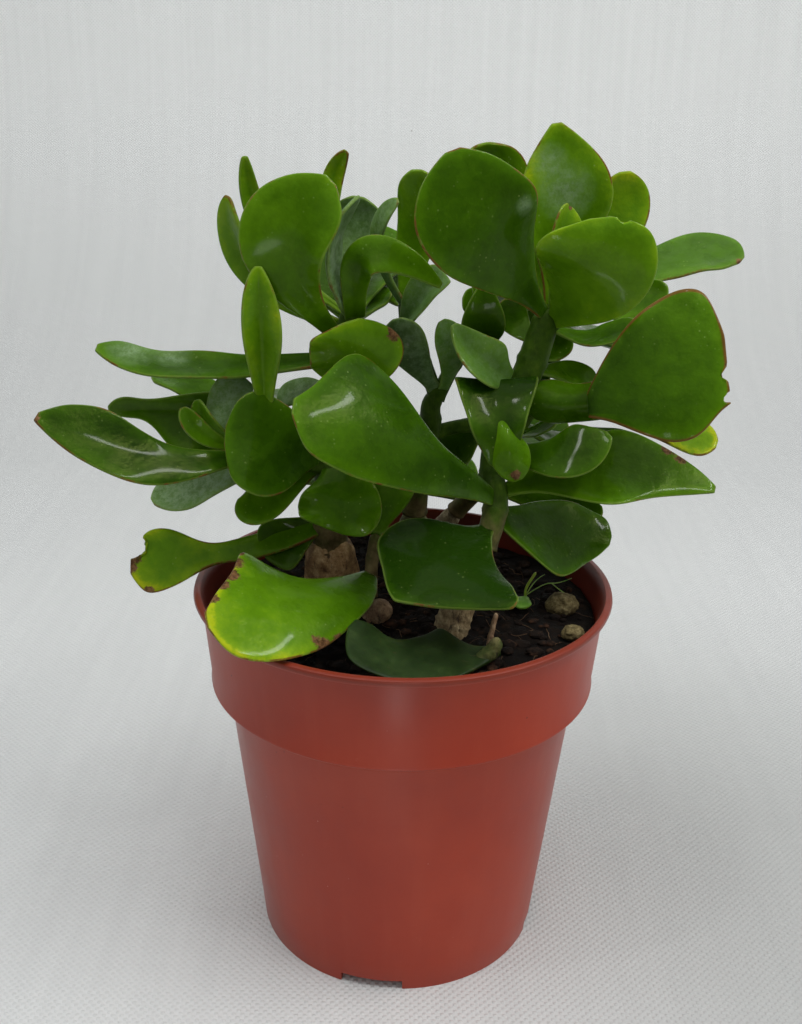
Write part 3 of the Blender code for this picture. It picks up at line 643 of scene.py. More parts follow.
# %% Soil: finishes
def earth_finish(name, dark, middle, light, scale):
    earth = Finish(name)
    patches = earth.noise(scale, detail=6, rough=0.7)
    tint = earth.ramp(patches, (0.35, dark), (0.55, middle), (0.72, light))
    grains = earth.steps(earth.cells(scale * 6), 0.0, 0.5, 0.6, 1.0)
    tint = earth.blend(grains, (0.004, 0.003, 0.002, 1), tint)
    relief = earth.height(earth.noise(1500, detail=6, rough=0.8), 0.5 * MM)
    return earth.finish(tint, earth.steps(patches, 0.3, 0.7, 0.65, 0.95), relief, Specular_IOR_Level=0.12)


DAMP_BLACK = (0.003, 0.0022, 0.002)
peat_finish = earth_finish("damp_peat", DAMP_BLACK, (0.008, 0.0055, 0.004), (0.035, 0.018, 0.01), 220)
crumb_finish = earth_finish("peat_crumb", DAMP_BLACK, (0.016, 0.01, 0.007), (0.1, 0.048, 0.026), 150)
fibre_finish = earth_finish("peat_fibre", (0.05, 0.03, 0.017), (0.15, 0.09, 0.05), (0.34, 0.23, 0.14), 90)
for piece, finish in ((soil, peat_finish), (crumbs, crumb_finish), (fibres, fibre_finish)):
    dress(finish, piece)
    print(piece.name, "wears", finish.name)

# %% [markdown]
# ## Places of the plant
#
# The stems and leaves are placed by tables like those of the solids: a stem is a list of x, y, z and
# radius, and a leaf is the base, middle and tip of its rib, the way its upper face looks, its width, and
# what differs from a plain leaf. All are millimetres from the middle of the pot's foot. Five leaves have
# rows of their own here, which follow the real ones more closely than the solids do: front_glossy,
# middle_olive, left_upright, right_broad and back_lime. right_gutter is the folded base of right_broad and
# has no solid. right_strap ends a little sooner, so that its rounded tip stays inside the CAD box.

# %% Stems and leaves in millimetres
WOOD = {
    "trunk_left": [(-20, 9, 86, 7), (-21, 8, 102, 7.8), (-21, 6, 112, 7.4), (-21.5, 5, 119, 6)],
    "trunk_centre": [(4, 29, 86, 4.8), (4, 28, 104, 4.8), (3, 24, 116, 4.4), (3, 21.5, 124, 4)],
    "trunk_right": [(11, -20, 86, 5), (13, -19, 103, 5), (17, -16, 115, 4.2), (22, -12.5, 126, 3.4)],
    "trunk_back": [(7, 40, 86, 3.6), (9, 38, 103, 3.5), (12, 35.5, 113, 3.2), (16, 32.5, 120, 3)],
    "stub_front": [(-9, -13, 92, 3.2), (-9, -13, 102, 3.4), (-7.5, -13.6, 106.5, 3.5),
                   (-3.5, -15.2, 109.5, 3.4)],
}
GREEN = {
    "shoot_left": [
        [(-21.5, 4.8, 119.75, 5.4), (-22, 2, 133, 4.2), (-21, 0, 146, 3.6), (-19, 0, 160, 3.4),
         (-18, 0, 174, 3.2),
         (-15, -1, 190, 2.8)],
        [(-21, 0, 145, 3), (-31, -2, 148, 2.6), (-46, -5, 151, 2.2)],
    ],
    "shoot_centre": [
        [(3, 21.4, 124.3, 3.8), (4, 18, 138, 3.6), (7, 14, 152, 3.2), (7, 12, 160, 2.8), (9, 12, 164, 2.6)],
        [(8.5, 12, 162, 2.2), (5, 12, 172, 2), (0, 13, 182, 2), (-1, 14, 190, 2)],
        [(8.5, 12, 162, 2.2), (13, 14, 171, 2.1), (19, 14, 180, 2), (23, 14, 186, 2)],
        [(7, 14, 151, 2.2), (17, 16, 153, 2), (23, 19, 151.5, 2)],
    ],
    "shoot_right": [
        [(22.2, -12.2, 126.3, 3.3), (25, -8, 137, 3.5), (24, -2, 146, 3.4), (25, 0, 154, 3.4),
         (29, 0, 165, 3.8),
         (33, 2, 173, 4.1), (36, 4, 182, 3.9), (39, 8, 190, 3.2)],
    ],
    "shoot_back": [
        [(16.2, 32.3, 120.3, 2.9), (24, 27, 132, 2.8), (30, 23, 145, 2.7), (36, 21, 157, 2.6),
         (40, 20, 166, 2.4)],
    ],
    "shoot_front": [
        [(-9, -12.2, 111, 1.8), (-9, -8, 119, 1.8), (-8, -4, 127, 1.6)],
    ],
}

# Leaves: name, base, middle and tip of the rib, the way the upper face looks, width, and what differs from
# a plain leaf. "left" and "right" are the margins' distances from the rib at STATIONS, seen on the upper
# face with the tip up. "stalk" and "end" are the same distances at the two ends. "twist" turns the blade
# from base to tip, and "cup" raises its margins.
STATIONS = (0.15, 0.35, 0.55, 0.75, 0.92)
PLAIN_OUTLINE = (0.32, 0.66, 0.94, 1.0, 0.68)
TIP_SHARE = 0.18
STALK = 2.0
WAVE = 0.7
CUP = 0.12
LEAVES = {
    "shoot_left": [
        ("crown_broad", (-18, -2, 182), (-29, -12, 204), (-19.5, -12, 224), (0.1, -1, 0.2), 27,
         {"left": (2.5, 7.5, 13.5, 13.5, 7), "right": (2.5, 4.5, 6.5, 8.5, 7)}),
        ("crown_narrow", (-16, 0, 184), (-40, 7, 197), (-47.5, 4, 218), (-0.7, -0.7, 0.1), 11, {}),
        ("crown_spike", (-16, 0, 188), (-38, 15, 204), (-44, 12, 227.5), (0.3, -0.9, 0.2), 5, {"cup": 0.5}),
        ("crown_point", (-15, 0, 189), (-22, 15, 213), (-17, 14, 229), (0.2, -0.9, 0.1), 5, {"cup": 0.4}),
        ("crown_grey", (-15, 0, 189), (-15, 16, 204), (-14, 17, 217), (0, -1, 0.2), 15, {}),
        ("crown_twisted", (-16, -2, 189), (-20, -5, 206), (-13, -2, 219), (0.8, -0.6, 0), 11,
         {"twist": (0, -40)}),
        ("crown_arched", (-14, -2, 187), (-11, -8, 205), (8.5, -6, 197), (0.1, -0.9, 0.5), 13,
         {"left": (2.5, 4, 5, 4.5, 2.5), "right": (3.5, 5, 5, 3.5, 1.5), "stalk": (3, 3)}),
        ("crown_shaded", (-14, 0, 187), (-12, 11, 188), (-10, 22, 192), (-0.2, -0.6, 0.8), 13, {}),
        ("left_upright", (-38, -3.5, 150), (-38, -11, 183), (-38, -14, 203), (0.1, -1, 0), 10.5,
         {"left": (1.2, 2.8, 4.3, 4.0, 2.2), "right": (1.2, 3.2, 5.2, 4.2, 1.8), "cup": 0.15,
          "end": (0.4, 0.4)}),
        ("left_long", (-16, 0, 176.5), (-50, -2, 174), (-83, -4, 179), (0, -0.45, 0.9), 18,
         {"left": (2.5, 3.5, 6.5, 8, 5), "right": (3, 3.5, 3.5, 2, 3.5), "stalk": (2.6, 2.6)}),
        ("left_under", (-36, -2, 149), (-56, 12, 162), (-72, 12, 166), (0, -0.3, 0.95), 12, {}),
        ("left_twisted", (-36, -1, 148), (-60, 2, 158.5), (-82, 0, 160.5), (0, -0.7, 0.7), 15,
         {"left": (4, 9, 9.5, 2.5, 2), "right": (5, 9, 5.5, 2.5, 4), "twist": (0, 60)}),
        ("left_bud_a", (-43, -4, 151), (-54, -8, 156), (-60, -8, 164), (0.4, -0.9, 0.2), 5, {"cup": 0.4}),
        ("left_bud_b", (-43, -4, 151), (-52, -7, 158), (-56, -7, 166), (-0.4, -0.9, 0.2), 5, {"cup": 0.4}),
        ("left_far", (-40, -4, 150), (-67, -20, 154), (-94, -26, 166), (0.15, -0.7, 0.7), 20,
         {"left": (2.5, 6, 8.5, 6, 2.5), "right": (2, 3, 6, 9, 6)}),
        ("left_silver", (-36, -2, 148), (-56, 2, 138.5), (-71, -2, 134.5), (0, -0.5, 0.85), 13, {}),
        ("left_rising", (-43, -5, 151), (-49, -4, 161), (-44.5, 0, 171), (0.2, -0.9, 0.3), 11,
         {"left": (3, 4.5, 5, 5, 4), "right": (3, 4.5, 5.5, 6, 5), "end": (2.5, 3)}),
        ("left_round", (-22, -2, 150), (-35, -11, 156), (-48, -14, 158.5), (0.1, -0.93, 0.36), 28,
         {"left": (6, 12, 15, 14, 10), "right": (4, 8, 11, 12, 8)}),
        ("left_low", (-24, 0, 146), (-38, -6, 138), (-45, -8, 139), (0, -0.8, 0.6), 14, {}),
        ("middle_olive", (-18, -1, 168), (-13.5, -8, 178), (-14, -10, 189), (0.3, -0.9, 0.3), 26,
         {"left": (8.5, 11.5, 12.2, 12.2, 11), "right": (6, 10, 13, 10.8, 5)}),
        ("left_grey", (-20, 1, 167), (-28, 5, 166), (-36, 7, 162), (0.1, -0.6, 0.8), 8, {}),
        ("middle_hanging", (-21, -1, 147), (-18, -8, 139), (-19, -11, 130), (0, -0.85, 0.5), 23,
         {"left": (4, 9, 11, 11, 8), "right": (4, 9, 11, 11, 9)}),
        ("low_dark", (-22, 3, 129), (-33, 2, 122), (-40, -1, 118), (-0.1, -0.9, 0.4), 15, {}),
        ("low_torn", (-22, 2, 127), (-52, -2, 118), (-77, -8, 117), (0, -0.8, 0.6), 18,
         {"left": (3, 2.5, 1.4, 5.5, 7), "right": (3, 4, 4, 10, 9), "twist": (-10, 10)}),
        ("left_back_a", (-16, 1, 187), (-30, 22, 198), (-42, 38, 203), (-0.2, -0.3, 0.9), 24, {}),
        ("left_back_b", (-15, 0, 188), (-13, 26, 196), (-10, 44, 206), (0, -0.7, 0.7), 24, {}),
        ("left_back_c", (-18, 1, 168), (-31, 22, 158), (-44, 40, 155), (0, -0.2, 1), 16, {}),
        ("left_back_d", (-22, 1, 140), (-38, 22, 140), (-52, 38, 150), (0, -0.3, 1), 24, {}),
    ],
    "shoot_centre": [
        ("centre_upright", (-1, 15, 189), (1, 18, 208), (1.5, 15, 224.5), (0, -1, 0.1), 14,
         {"left": (2.5, 4, 4, 4.5, 4), "right": (3, 5.5, 7.5, 8, 5.5)}),
        ("centre_strip", (-1, 13, 188), (-8.5, 6, 206), (-3, 1, 218), (-0.6, -0.6, 0.5), 6, {}),
        ("centre_folded", (-2, 10, 181), (4, 5.5, 191), (10, 4, 198.5), (-0.3, -0.7, 0.6), 9,
         {"left": (2, 3.5, 4.7, 4.7, 4), "right": (2, 3.5, 4, 4, 4), "end": (3, 3.2), "cup": 0.45}),
        ("centre_grey", (8, 11, 165), (1, 4, 177), (-3, 2, 187), (-0.3, -0.8, 0.5), 11, {}),
        ("centre_curved", (10, 11, 165), (12, 6, 176), (9, 5, 186), (0.3, -0.9, 0.2), 8, {}),
        ("centre_dark", (21, 13.5, 176), (20.5, 8, 185), (20.5, 8, 196), (0, -1, 0.3), 11,
         {"left": (3.5, 5.5, 5.5, 3.8, 1.8), "right": (3.5, 5.5, 5.8, 4.2, 2)}),
        ("centre_edge", (22, 14, 184), (22, 12, 190), (18, 11, 196), (0.4, -0.9, 0), 6, {}),
        ("centre_small", (22, 14, 183), (19.5, 17, 187.5), (15.5, 17, 191), (0, -0.9, 0.4), 7, {}),
        ("centre_low", (22, 18, 151), (16, 21, 145), (10, 23, 141), (0, -0.9, 0.4), 12, {}),
        ("centre_back_a", (-1, 15, 188), (-8, 36, 194), (-4, 56, 202), (0, -0.5, 0.9), 25, {}),
        ("centre_back_b", (22, 15, 184), (30, 34, 188), (34, 52, 198), (0, -0.5, 0.9), 24, {}),
        ("centre_back_c", (4, 19, 136), (-8, 40, 134), (-18, 58, 142), (0, -0.3, 1), 25, {}),
    ],
    "shoot_right": [
        ("front_fan", (23, -11, 132), (14, -28, 129.5), (10, -44, 123), (0, -0.4, 0.9), 38,
         {"left": (4, 8, 14, 17, 18.5), "right": (4.5, 17, 21.5, 17, 14), "end": (17, 12)}),
        ("front_glossy", (25, -8, 139), (-1, -27, 162), (-28, -35, 173), (0.3, -0.7, 0.6), 32,
         {"left": (5, 10, 12.5, 12.5, 10), "right": (3, 5.5, 17, 20.5, 6)}),
        ("right_long", (26, -5, 140), (54, -4, 147), (85, -8, 143), (0, -0.5, 0.85), 24,
         {"left": (3, 6, 14, 10, 4), "right": (4, 10, 13.5, 7.5, 3)}),
        ("right_low", (25, -7, 135), (45, 3, 127), (60, 5, 122), (0.3, -0.6, 0.7), 22,
         {"left": (3, 7, 9, 8, 6), "right": (11, 17, 14.5, 9, 4.5), "stalk": (2, 4)}),
        ("right_oval", (26, -1, 152), (41, -13, 154), (54, -13, 160), (0, -0.7, 0.7), 15,
         {"left": (2.5, 5, 7, 7.5, 4), "right": (2.5, 5, 7, 6, 3)}),
        ("right_hanging", (23.5, -2, 171.5), (24.5, -11.5, 161.5), (27, -13, 150), (0, -0.95, 0.3), 24,
         {"left": (11, 8.5, 6.5, 4.5, 3.5), "right": (10, 8, 7, 5, 3.5), "stalk": (12, 11)}),
        ("right_tongue", (25, -10, 163.5), (27.5, -16, 157), (30.2, -14, 147), (0.1, -0.95, 0.3), 10, {}),
        ("right_broad", (48.2, -9.5, 165), (66.4, -12.8, 168.2), (84.2, -15, 171.2), (0, -0.93, 0.36), 37,
         {"left": (14.1, 22.6, 27.5, 29.6, 26.8), "right": (2.7, 6.5, 9.5, 8.7, 2.8), "end": (16, 1),
          "stalk": (5, 1.5), "cup": 0.04}),
        ("right_gutter", (31, 0, 168), (44, -4.5, 165.5), (64, -6, 170), (0, -1, 0.1), 11,
         {"left": (5, 5.5, 4.5, 5, 4), "right": (5, 6, 5, 5, 4), "end": (3, 3), "cup": -0.5}),
        ("right_strap", (39, 8, 189), (72, 22, 199), (92.6, 20, 201), (0, -0.4, 0.9), 18,
         {"left": (3, 5.5, 9, 10.5, 8), "right": (3, 5, 7, 7, 5)}),
        ("top_dark", (37, 5, 188), (21, -12, 210), (10, -16, 232), (0.2, -0.9, 0.3), 30,
         {"left": (3, 9, 15.5, 16.5, 9.5), "right": (3, 9.5, 15.5, 13, 7.5)}),
        ("top_behind", (38, 9, 189), (25, 22, 214), (19, 20, 231), (0, -0.95, 0.3), 20, {}),
        ("top_pointed", (39, 9, 189), (40, 13, 214), (38, 14, 237), (0, -0.95, 0.3), 25,
         {"left": (3, 7, 10, 9, 4), "right": (3, 9, 14, 12, 5)}),
        ("top_right", (39.5, 8, 189), (54.5, 19, 207), (58, 20, 224.5), (0, -0.95, 0.3), 16, {}),
        ("top_inner", (39, 6, 190), (39, 2, 206), (41.5, 4, 217), (0.5, -0.8, 0), 9, {"cup": 0.5}),
        ("top_round", (39, 5, 186), (46, -13, 202), (47, -15, 216.5), (0, -0.93, 0.36), 31,
         {"left": (5, 12, 15, 15, 11), "right": (5, 12, 14.5, 14, 10)}),
        ("top_under", (38, 6, 185), (50, 3, 182), (61, 2, 187.5), (0, -0.3, 0.95), 10, {}),
        ("top_shaded", (39.5, 8, 188), (60, 12, 189), (70, 12, 196), (0, -0.6, 0.8), 10, {}),
        ("right_under", (34, 4, 176), (41, 12, 176), (44, 12, 182), (0, -0.6, 0.8), 7, {}),
        ("right_shaded", (33, 3, 173), (46, 15, 169), (54, 18, 165), (0, -0.7, 0.7), 9, {}),
        ("middle_folded", (30, 1, 170), (20, -2, 176), (12, -2, 186.5), (0.2, -0.8, 0.5), 12,
         {"left": (3, 5.5, 6, 4.5, 2.2), "right": (3, 5.5, 6, 4.5, 2.2)}),
        ("middle_dark", (36, 4, 180), (30, 11, 184), (27.5, 12, 191), (0, -0.9, 0.4), 8, {}),
        ("right_back_a", (39, 8.5, 189), (46, 30, 203), (52, 48, 214), (0, -0.6, 0.8), 26, {}),
        ("right_back_b", (39, 8.5, 188), (28, 26, 202), (20, 42, 214), (0, -0.6, 0.8), 24, {}),
        ("right_back_c", (39.5, 8.5, 186), (56, 26, 176), (68, 42, 174), (0, -0.3, 1), 22, {}),
    ],
    "shoot_back": [
        ("back_light", (23, 28, 131), (48, 27, 124), (60, 28, 125), (0, -0.5, 0.85), 12, {}),
        ("back_glossy", (31, 22, 148), (37, 12, 153), (42, 5, 157), (0, -0.5, 0.85), 9, {}),
        ("back_lime", (38, 20, 162), (70, 15, 154), (89, 10, 150.5), (0, -0.6, 0.8), 12,
         {"left": (1, 1.5, 3, 6, 5), "right": (1, 1.5, 3, 6, 5)}),
        ("back_a", (28, 24, 140), (36, 44, 138), (44, 64, 146), (0, -0.3, 1), 26, {}),
        ("back_b", (20, 29, 126), (14, 50, 122), (6, 68, 130), (0, -0.3, 1), 24, {}),
        ("back_c", (39, 21, 163), (62, 38, 152), (82, 50, 152), (0, -0.3, 1), 22, {}),
        ("back_d", (34, 21, 152), (54, 28, 142), (74, 38, 143), (0, -0.3, 1), 22, {}),
        ("back_e", (39, 21, 165), (43, 44, 180), (40, 62, 194), (0, -0.5, 0.9), 22, {}),
    ],
    "shoot_front": [
        ("front_lime", (-9, -10, 117), (-27, -36, 120), (-49, -50, 122), (-0.1, -0.6, 0.8), 32,
         {"left": (8, 11, 13.5, 13.5, 9.5), "right": (4, 9, 22, 14.5, 7)}),
        ("front_behind", (-8, -4, 126), (-5, -1, 137), (-4, 1, 146), (0, -0.95, 0.3), 14, {}),
    ],
}
FALLEN_LEAF = ("leaf_fallen", (25, -35, 107), (7, -42, 107.5), (-13, -38, 116), (0, -0.25, 1), 20,
               {"left": (3, 7, 10.5, 13, 11), "right": (4, 11.5, 8, 1.5, 2.5)})
LEAF_STUB = [(20, -38.5, 105.5, 1.9), (22.5, -37.5, 107, 2.2), (24.2, -37, 109, 1.9),
             (24.6, -36.8, 111.5, 1.5)]
TWIG = [(23, -30, 92, 0.9), (23, -30, 104, 0.8), (25, -27, 114, 0.6)]
SEEDLING_STEM = [(36, 0, 94, 0.45), (36, 0, 104, 0.45), (35.5, -1, 109, 0.4), (38, -2, 115, 0.4)]
SEEDLING_LEAF = ("seedling", (36, -0.5, 106), (34.5, -4, 106.6), (34, -7.5, 106), (0, -0.3, 1), 4.5, {})
SEEDLING_HAIRS = [
    [(36, -1, 107.5), (41, 0, 111), (45, 1, 110), (49, 2, 111.5)],
    [(36, -1, 108), (38, 0, 112), (41, 1, 113)], [(43, 0.5, 110.5), (46, 0, 108), (48, 0, 107)],
]
STONES = {
    "stone_large": ((46, -2, 105), (4.6, 4.1, 3.5), 2),
    "stone_small": ((47, -20, 104.8), (3.2, 2.6, 2.2), 5),
}
print(sum(len(rows) for rows in LEAVES.values()), "leaves on", len(LEAVES), "shoots")

# %% [markdown]
# ## Stems
#
# A stem is a curve with a round bevel, whose points carry the radius. Jade stems swell a little where each
# pair of leaves sat and keep a thin ring there, so the radius rises and falls along the curve. The curve is
# then made a mesh, because the bark still has to be roughened, which a curve can't hold.


# %% Helper: a smooth path and a tube along it
def smooth_value(x, knots, values):
    """A smooth curve through the values at the knots, read at x."""
    last = len(knots) - 2
    i = max(k for k in range(last + 1) if knots[k] <= x or k == 0)

    def slope(k):
        a, b = max(k - 1, 0), min(k + 1, last + 1)
        return (values[b] - values[a]) / (knots[b] - knots[a])

    rise = knots[i + 1] - knots[i]
    t = (x - knots[i]) / rise
    return (
        (2 * t**3 - 3 * t**2 + 1) * values[i]
        + (t**3 - 2 * t**2 + t) * rise * slope(i)
        + (3 * t**2 - 2 * t**3) * values[i + 1]
        + (t**3 - t**2) * rise * slope(i + 1)
    )


def smooth_path(points, step):
    """Points about step apart on a smooth curve through the given ones, each with x, y, z and radius."""
    along = [0.0]
    for a, b in zip(points, points[1:]):
        along.append(along[-1] + math.dist(a[:3], b[:3]))
    count = max(2, round(along[-1] / step))
    columns = list(zip(*points))
    stops = [along[-1] * k / count for k in range(count + 1)]
    return [[smooth_value(stop, along, column) for column in columns] for stop in stops]


def tube(name, points, step=0.8, sides=6, ring_gap=0.0, ring_swell=0.0, round_end=True):
    """A tapered stem along the points. Rings ring_gap apart swell it by ring_swell of its radius."""
    path = smooth_path(points, step)
    curve = bpy.data.curves.new(name, "CURVE")
    curve.dimensions = "3D"
    curve.bevel_depth = MM
    curve.bevel_resolution = sides
    curve.use_fill_caps = True
    spline = curve.splines.new("POLY")
    spline.points.add(len(path) - 1)
    for k, (point, (x, y, z, radius)) in enumerate(zip(spline.points, path)):
        if ring_gap:
            radius *= 1 + ring_swell * max(0, math.cos(2 * math.pi * k * step / ring_gap)) ** 7
        left = (len(path) - 1 - k) * step
        if round_end and left < radius:
            radius *= math.sqrt(max(0.05, 1 - (1 - left / radius) ** 2))
        point.co = (x * MM, y * MM, z * MM, 1)
        point.radius = radius
    obj = bpy.data.objects.new(name, curve)
    scene.collection.objects.link(obj)
    only(obj)
    bpy.ops.object.convert(target="MESH")
    obj = bpy.context.active_object
    bpy.ops.object.mode_set(mode="EDIT")
    bpy.ops.mesh.select_all(action="SELECT")
    bpy.ops.mesh.remove_doubles(threshold=0.01 * MM)
    bpy.ops.mesh.normals_make_consistent(inside=False)
    bpy.ops.object.mode_set(mode="OBJECT")
    bpy.ops.object.shade_smooth()
    return obj


def roughen(obj, depth, size, stretch):
    """Pushes every corner along its normal by two sizes of noise. The stretch draws the noise out along z."""
    lie = Vector((1, 1, stretch)) / (size * MM)
    for vertex in obj.data.vertices:
        place = vertex.co * lie
        lump = noise.noise(place) + 0.5 * noise.noise(place * 2.3 + Vector((5, 0, 0)))
        vertex.co = vertex.co + vertex.normal * (depth * MM * lump)


# %% [markdown]
# The five woody feet come first. The left one is old bark with cracks and knobs, the front right one has
# close rings like a worn screw, and the others are smooth. Each is a tube, roughened by its own amount.

# %% Woody feet
BARK = {
    # name: ring gap, ring swell, roughness depth, size of the knobs, all in mm but the swell
    "trunk_left": (9.0, 0.02, 0.9, 3.4),
    "trunk_centre": (7.0, 0.05, 0.25, 3.0),
    "trunk_right": (2.6, 0.09, 0.35, 2.5),
    "trunk_back": (6.0, 0.05, 0.25, 3.0),
    "stub_front": (5.0, 0.04, 0.4, 2.0),
}
# The left foot's bark climbs a little way round its green stem.
CLIMBING_BARK = [(-21.2, 6.2, 112, 7.7), (-21.5, 5, 119, 7.2), (-21.8, 4, 124, 5.6)]
BARK_STRETCH = 0.6
feet = {}
for name, (ring_gap, ring_swell, depth, size) in BARK.items():
    points = WOOD[name]
    if name == "trunk_left":
        points = points[:2] + CLIMBING_BARK
    foot = tube(name + "_bark", points, ring_gap=ring_gap, ring_swell=ring_swell, sides=8)
    roughen(foot, depth, size, BARK_STRETCH)
    feet[name] = foot
    stand_for(foot, "bark", name)

# %% [markdown]
# Bark is tan where it is dry, painted dark in its cracks as painted shade, and greenish where the stem is
# young.
# Long cracks come from noise drawn out along the height, and the green from the height itself, because only
# the upper part is young.


# %% Bark finish
def bark_finish(name, dark, middle, light, young, young_from):
    """Bark in patches from dark to light, with the young colour from the height young_from, in mm, up."""
    bark = Finish(name)
    knobs = bark.noise(340, detail=6, rough=0.75)
    cracks = bark.noise(700, detail=5, rough=0.7, stretch=(1, 1, 0.22))
    tint = bark.ramp(knobs, (0.32, dark), (0.5, middle), (0.68, light))
    height = bark.add("SeparateXYZ", output=2, inputs={0: bark.place})
    wander = bark.maths("MULTIPLY_ADD", bark.noise(160, detail=2), 14 * MM, -7 * MM)
    green = bark.steps(bark.maths("ADD", height, wander), young_from * MM, (young_from + 9) * MM)
    tint = bark.blend(green, tint, bark.ramp(knobs, (0.4, young), (0.65, tuple(c * 1.7 for c in young))))
    # Painted shade: the cracks are painted nearly black.
    crack_painted_shade = bark.steps(cracks, 0.34, 0.44, 1.0, 0.0)
    tint = bark.blend(bark.maths("MULTIPLY", crack_painted_shade, 0.75), tint, (0.018, 0.011, 0.007, 1))
    relief = bark.height(cracks, 0.9 * MM, below=bark.height(knobs, 0.6 * MM))
    return bark.finish(tint, bark.steps(knobs, 0.3, 0.7, 0.65, 0.9), relief, Specular_IOR_Level=0.35)


old_bark = bark_finish(
    "old_bark", (0.12, 0.06, 0.022), (0.4, 0.24, 0.1), (0.7, 0.5, 0.26), (0.12, 0.14, 0.04), 126
)
ringed_bark = bark_finish(
    "ringed_bark", (0.11, 0.07, 0.03), (0.3, 0.22, 0.11), (0.52, 0.42, 0.24), (0.1, 0.13, 0.03), 118
)
green_bark = bark_finish(
    "green_bark", (0.11, 0.085, 0.045), (0.29, 0.23, 0.13), (0.5, 0.42, 0.27), (0.11, 0.13, 0.03), 118
)
stub_bark = bark_finish(
    "stub_bark", (0.16, 0.09, 0.05), (0.42, 0.27, 0.15), (0.66, 0.5, 0.32), (0.5, 0.3, 0.14), 140
)
feet_finishes = {"trunk_left": old_bark, "stub_front": stub_bark, "trunk_right": ringed_bark}
for name, foot in feet.items():
    dress(feet_finishes.get(name, green_bark), foot)
    print(foot.name, "wears", foot.data.materials[0].name)

# %% [markdown]
# The green stems grow from the feet. They are the same kind of tube with softer rings, one piece for each
# shoot.

# %% Green stems
STEM_RING_GAP = 11.0
STEM_RING_SWELL = 0.1
stem_pieces = {}
for shoot, stems in GREEN.items():
    tubes = [
        tube("%s_%d" % (shoot, k), points, sides=7, ring_gap=STEM_RING_GAP, ring_swell=STEM_RING_SWELL)
        for k, points in enumerate(stems)
    ]
    stem_pieces[shoot] = join_as(shoot.replace("shoot", "stems"), tubes)
    stand_for(stem_pieces[shoot], "leaf", shoot)

stem_green = Finish("green_stem")
height = stem_green.add("SeparateXYZ", output=2, inputs={0: stem_green.place})
wander = stem_green.maths("MULTIPLY_ADD", stem_green.noise(130, detail=4), 50 * MM, -25 * MM)
age = stem_green.steps(stem_green.maths("ADD", height, wander), 116 * MM, 142 * MM, 1.0, 0.0)
patches = stem_green.noise(240, detail=5, rough=0.7)
lines = stem_green.noise(900, detail=3, stretch=(1, 1, 0.12))
tint = stem_green.ramp(
    patches, (0.35, (0.014, 0.036, 0.002)), (0.6, (0.035, 0.075, 0.004)), (0.8, (0.08, 0.13, 0.012))
)
brown = stem_green.ramp(patches, (0.35, (0.07, 0.045, 0.02)), (0.65, (0.2, 0.14, 0.07)))
tint = stem_green.blend(stem_green.maths("MULTIPLY", age, 0.85), tint, brown)
tint = stem_green.blend(stem_green.steps(lines, 0.58, 0.78, 0.0, 0.2), tint, (0.14, 0.13, 0.05, 1))
stem_skin = stem_green.finish(
    tint, stem_green.steps(patches, 0.3, 0.7, 0.4, 0.6), stem_green.height(lines, 0.15 * MM),
    Specular_IOR_Level=0.2, Specular_Tint=(0.8, 1.0, 0.4, 1), Subsurface_Weight=0.08,
)
stem_green.shader.inputs["Subsurface Radius"].default_value = (1.0, 1.4, 0.3)
stem_green.shader.inputs["Subsurface Scale"].default_value = 1.5 * MM
dress(stem_skin, *stem_pieces.values())
print("Stem finish has", len(stem_green.tree.nodes), "nodes")

# %% [markdown]
# ## Leaves
#
# Every leaf is a fleshy blade with its own outline, so no leaf can be copied as it is. What they share is
# the blank: a grid whose columns run from margin to margin and whose rows run from stalk to tip. Each leaf
# is a copy of the blank with its own mesh. Its rows are set across the rib to the leaf's width, its margins
# are waved and cupped, Solidify gives it flesh that thins towards the margin, and Subdivision Surface
# rounds the rim.

# %% Leaf blanks
BROAD_LEAF_WIDTH = 16
BLANKS = {"broad": (8, 14), "slim": (6, 10)}


def make_blank(name, columns, rows):
    bpy.ops.mesh.primitive_grid_add(x_subdivisions=columns, y_subdivisions=rows, size=2)
    blank = bpy.context.active_object
    blank.name = name
    for vertex in blank.data.vertices:
        u, s = vertex.co.x, (vertex.co.y + 1) / 2
        # Columns crowd towards the margin and rows towards the tip, where the outline bends most.
        vertex.co = (math.sin(u * math.pi / 2) * 0.6 + u * 0.4, 1 - (1 - s) ** 1.3, 0)
    print(name, "has", len(blank.data.vertices), "corners")
    return blank


blanks = {key: make_blank("blank_" + key, *size) for key, size in BLANKS.items()}

# %% [markdown]
# The rib is a curve through its base, middle and tip. At each point of it the blade spreads to both sides, at
# right angles to the rib and to the way the upper face looks.


# %% Place of a point on a leaf
# Rounding the rim draws it in by this much, in mm, so the blade starts out wider.
RIM_REACH = 0.45
# Waves along a margin, and how fast they shift from leaf to leaf
WAVES = 2.2
WAVE_SHIFT = 0.13


def margins(width, extra):
    """The left and right distances of the margin from the rib at the stations, in mm."""
    plain = [share * width / 2 for share in PLAIN_OUTLINE]
    return extra.get("left", plain), extra.get("right", plain)


def half_width(row, u, s):
    """The margin's distance from the rib in mm, on the side where u lies."""
    side = margins(row[5], row[6])[u > 0]
    stalk = row[6].get("stalk", (min(STALK, row[5] / 5),) * 2)
    end = row[6].get("end", (side[-1] * TIP_SHARE,) * 2)
    width = smooth_value(s, (0,) + STATIONS + (1,), (stalk[u > 0], *side, end[u > 0]))
    return width + RIM_REACH * min(1, 4 * s)


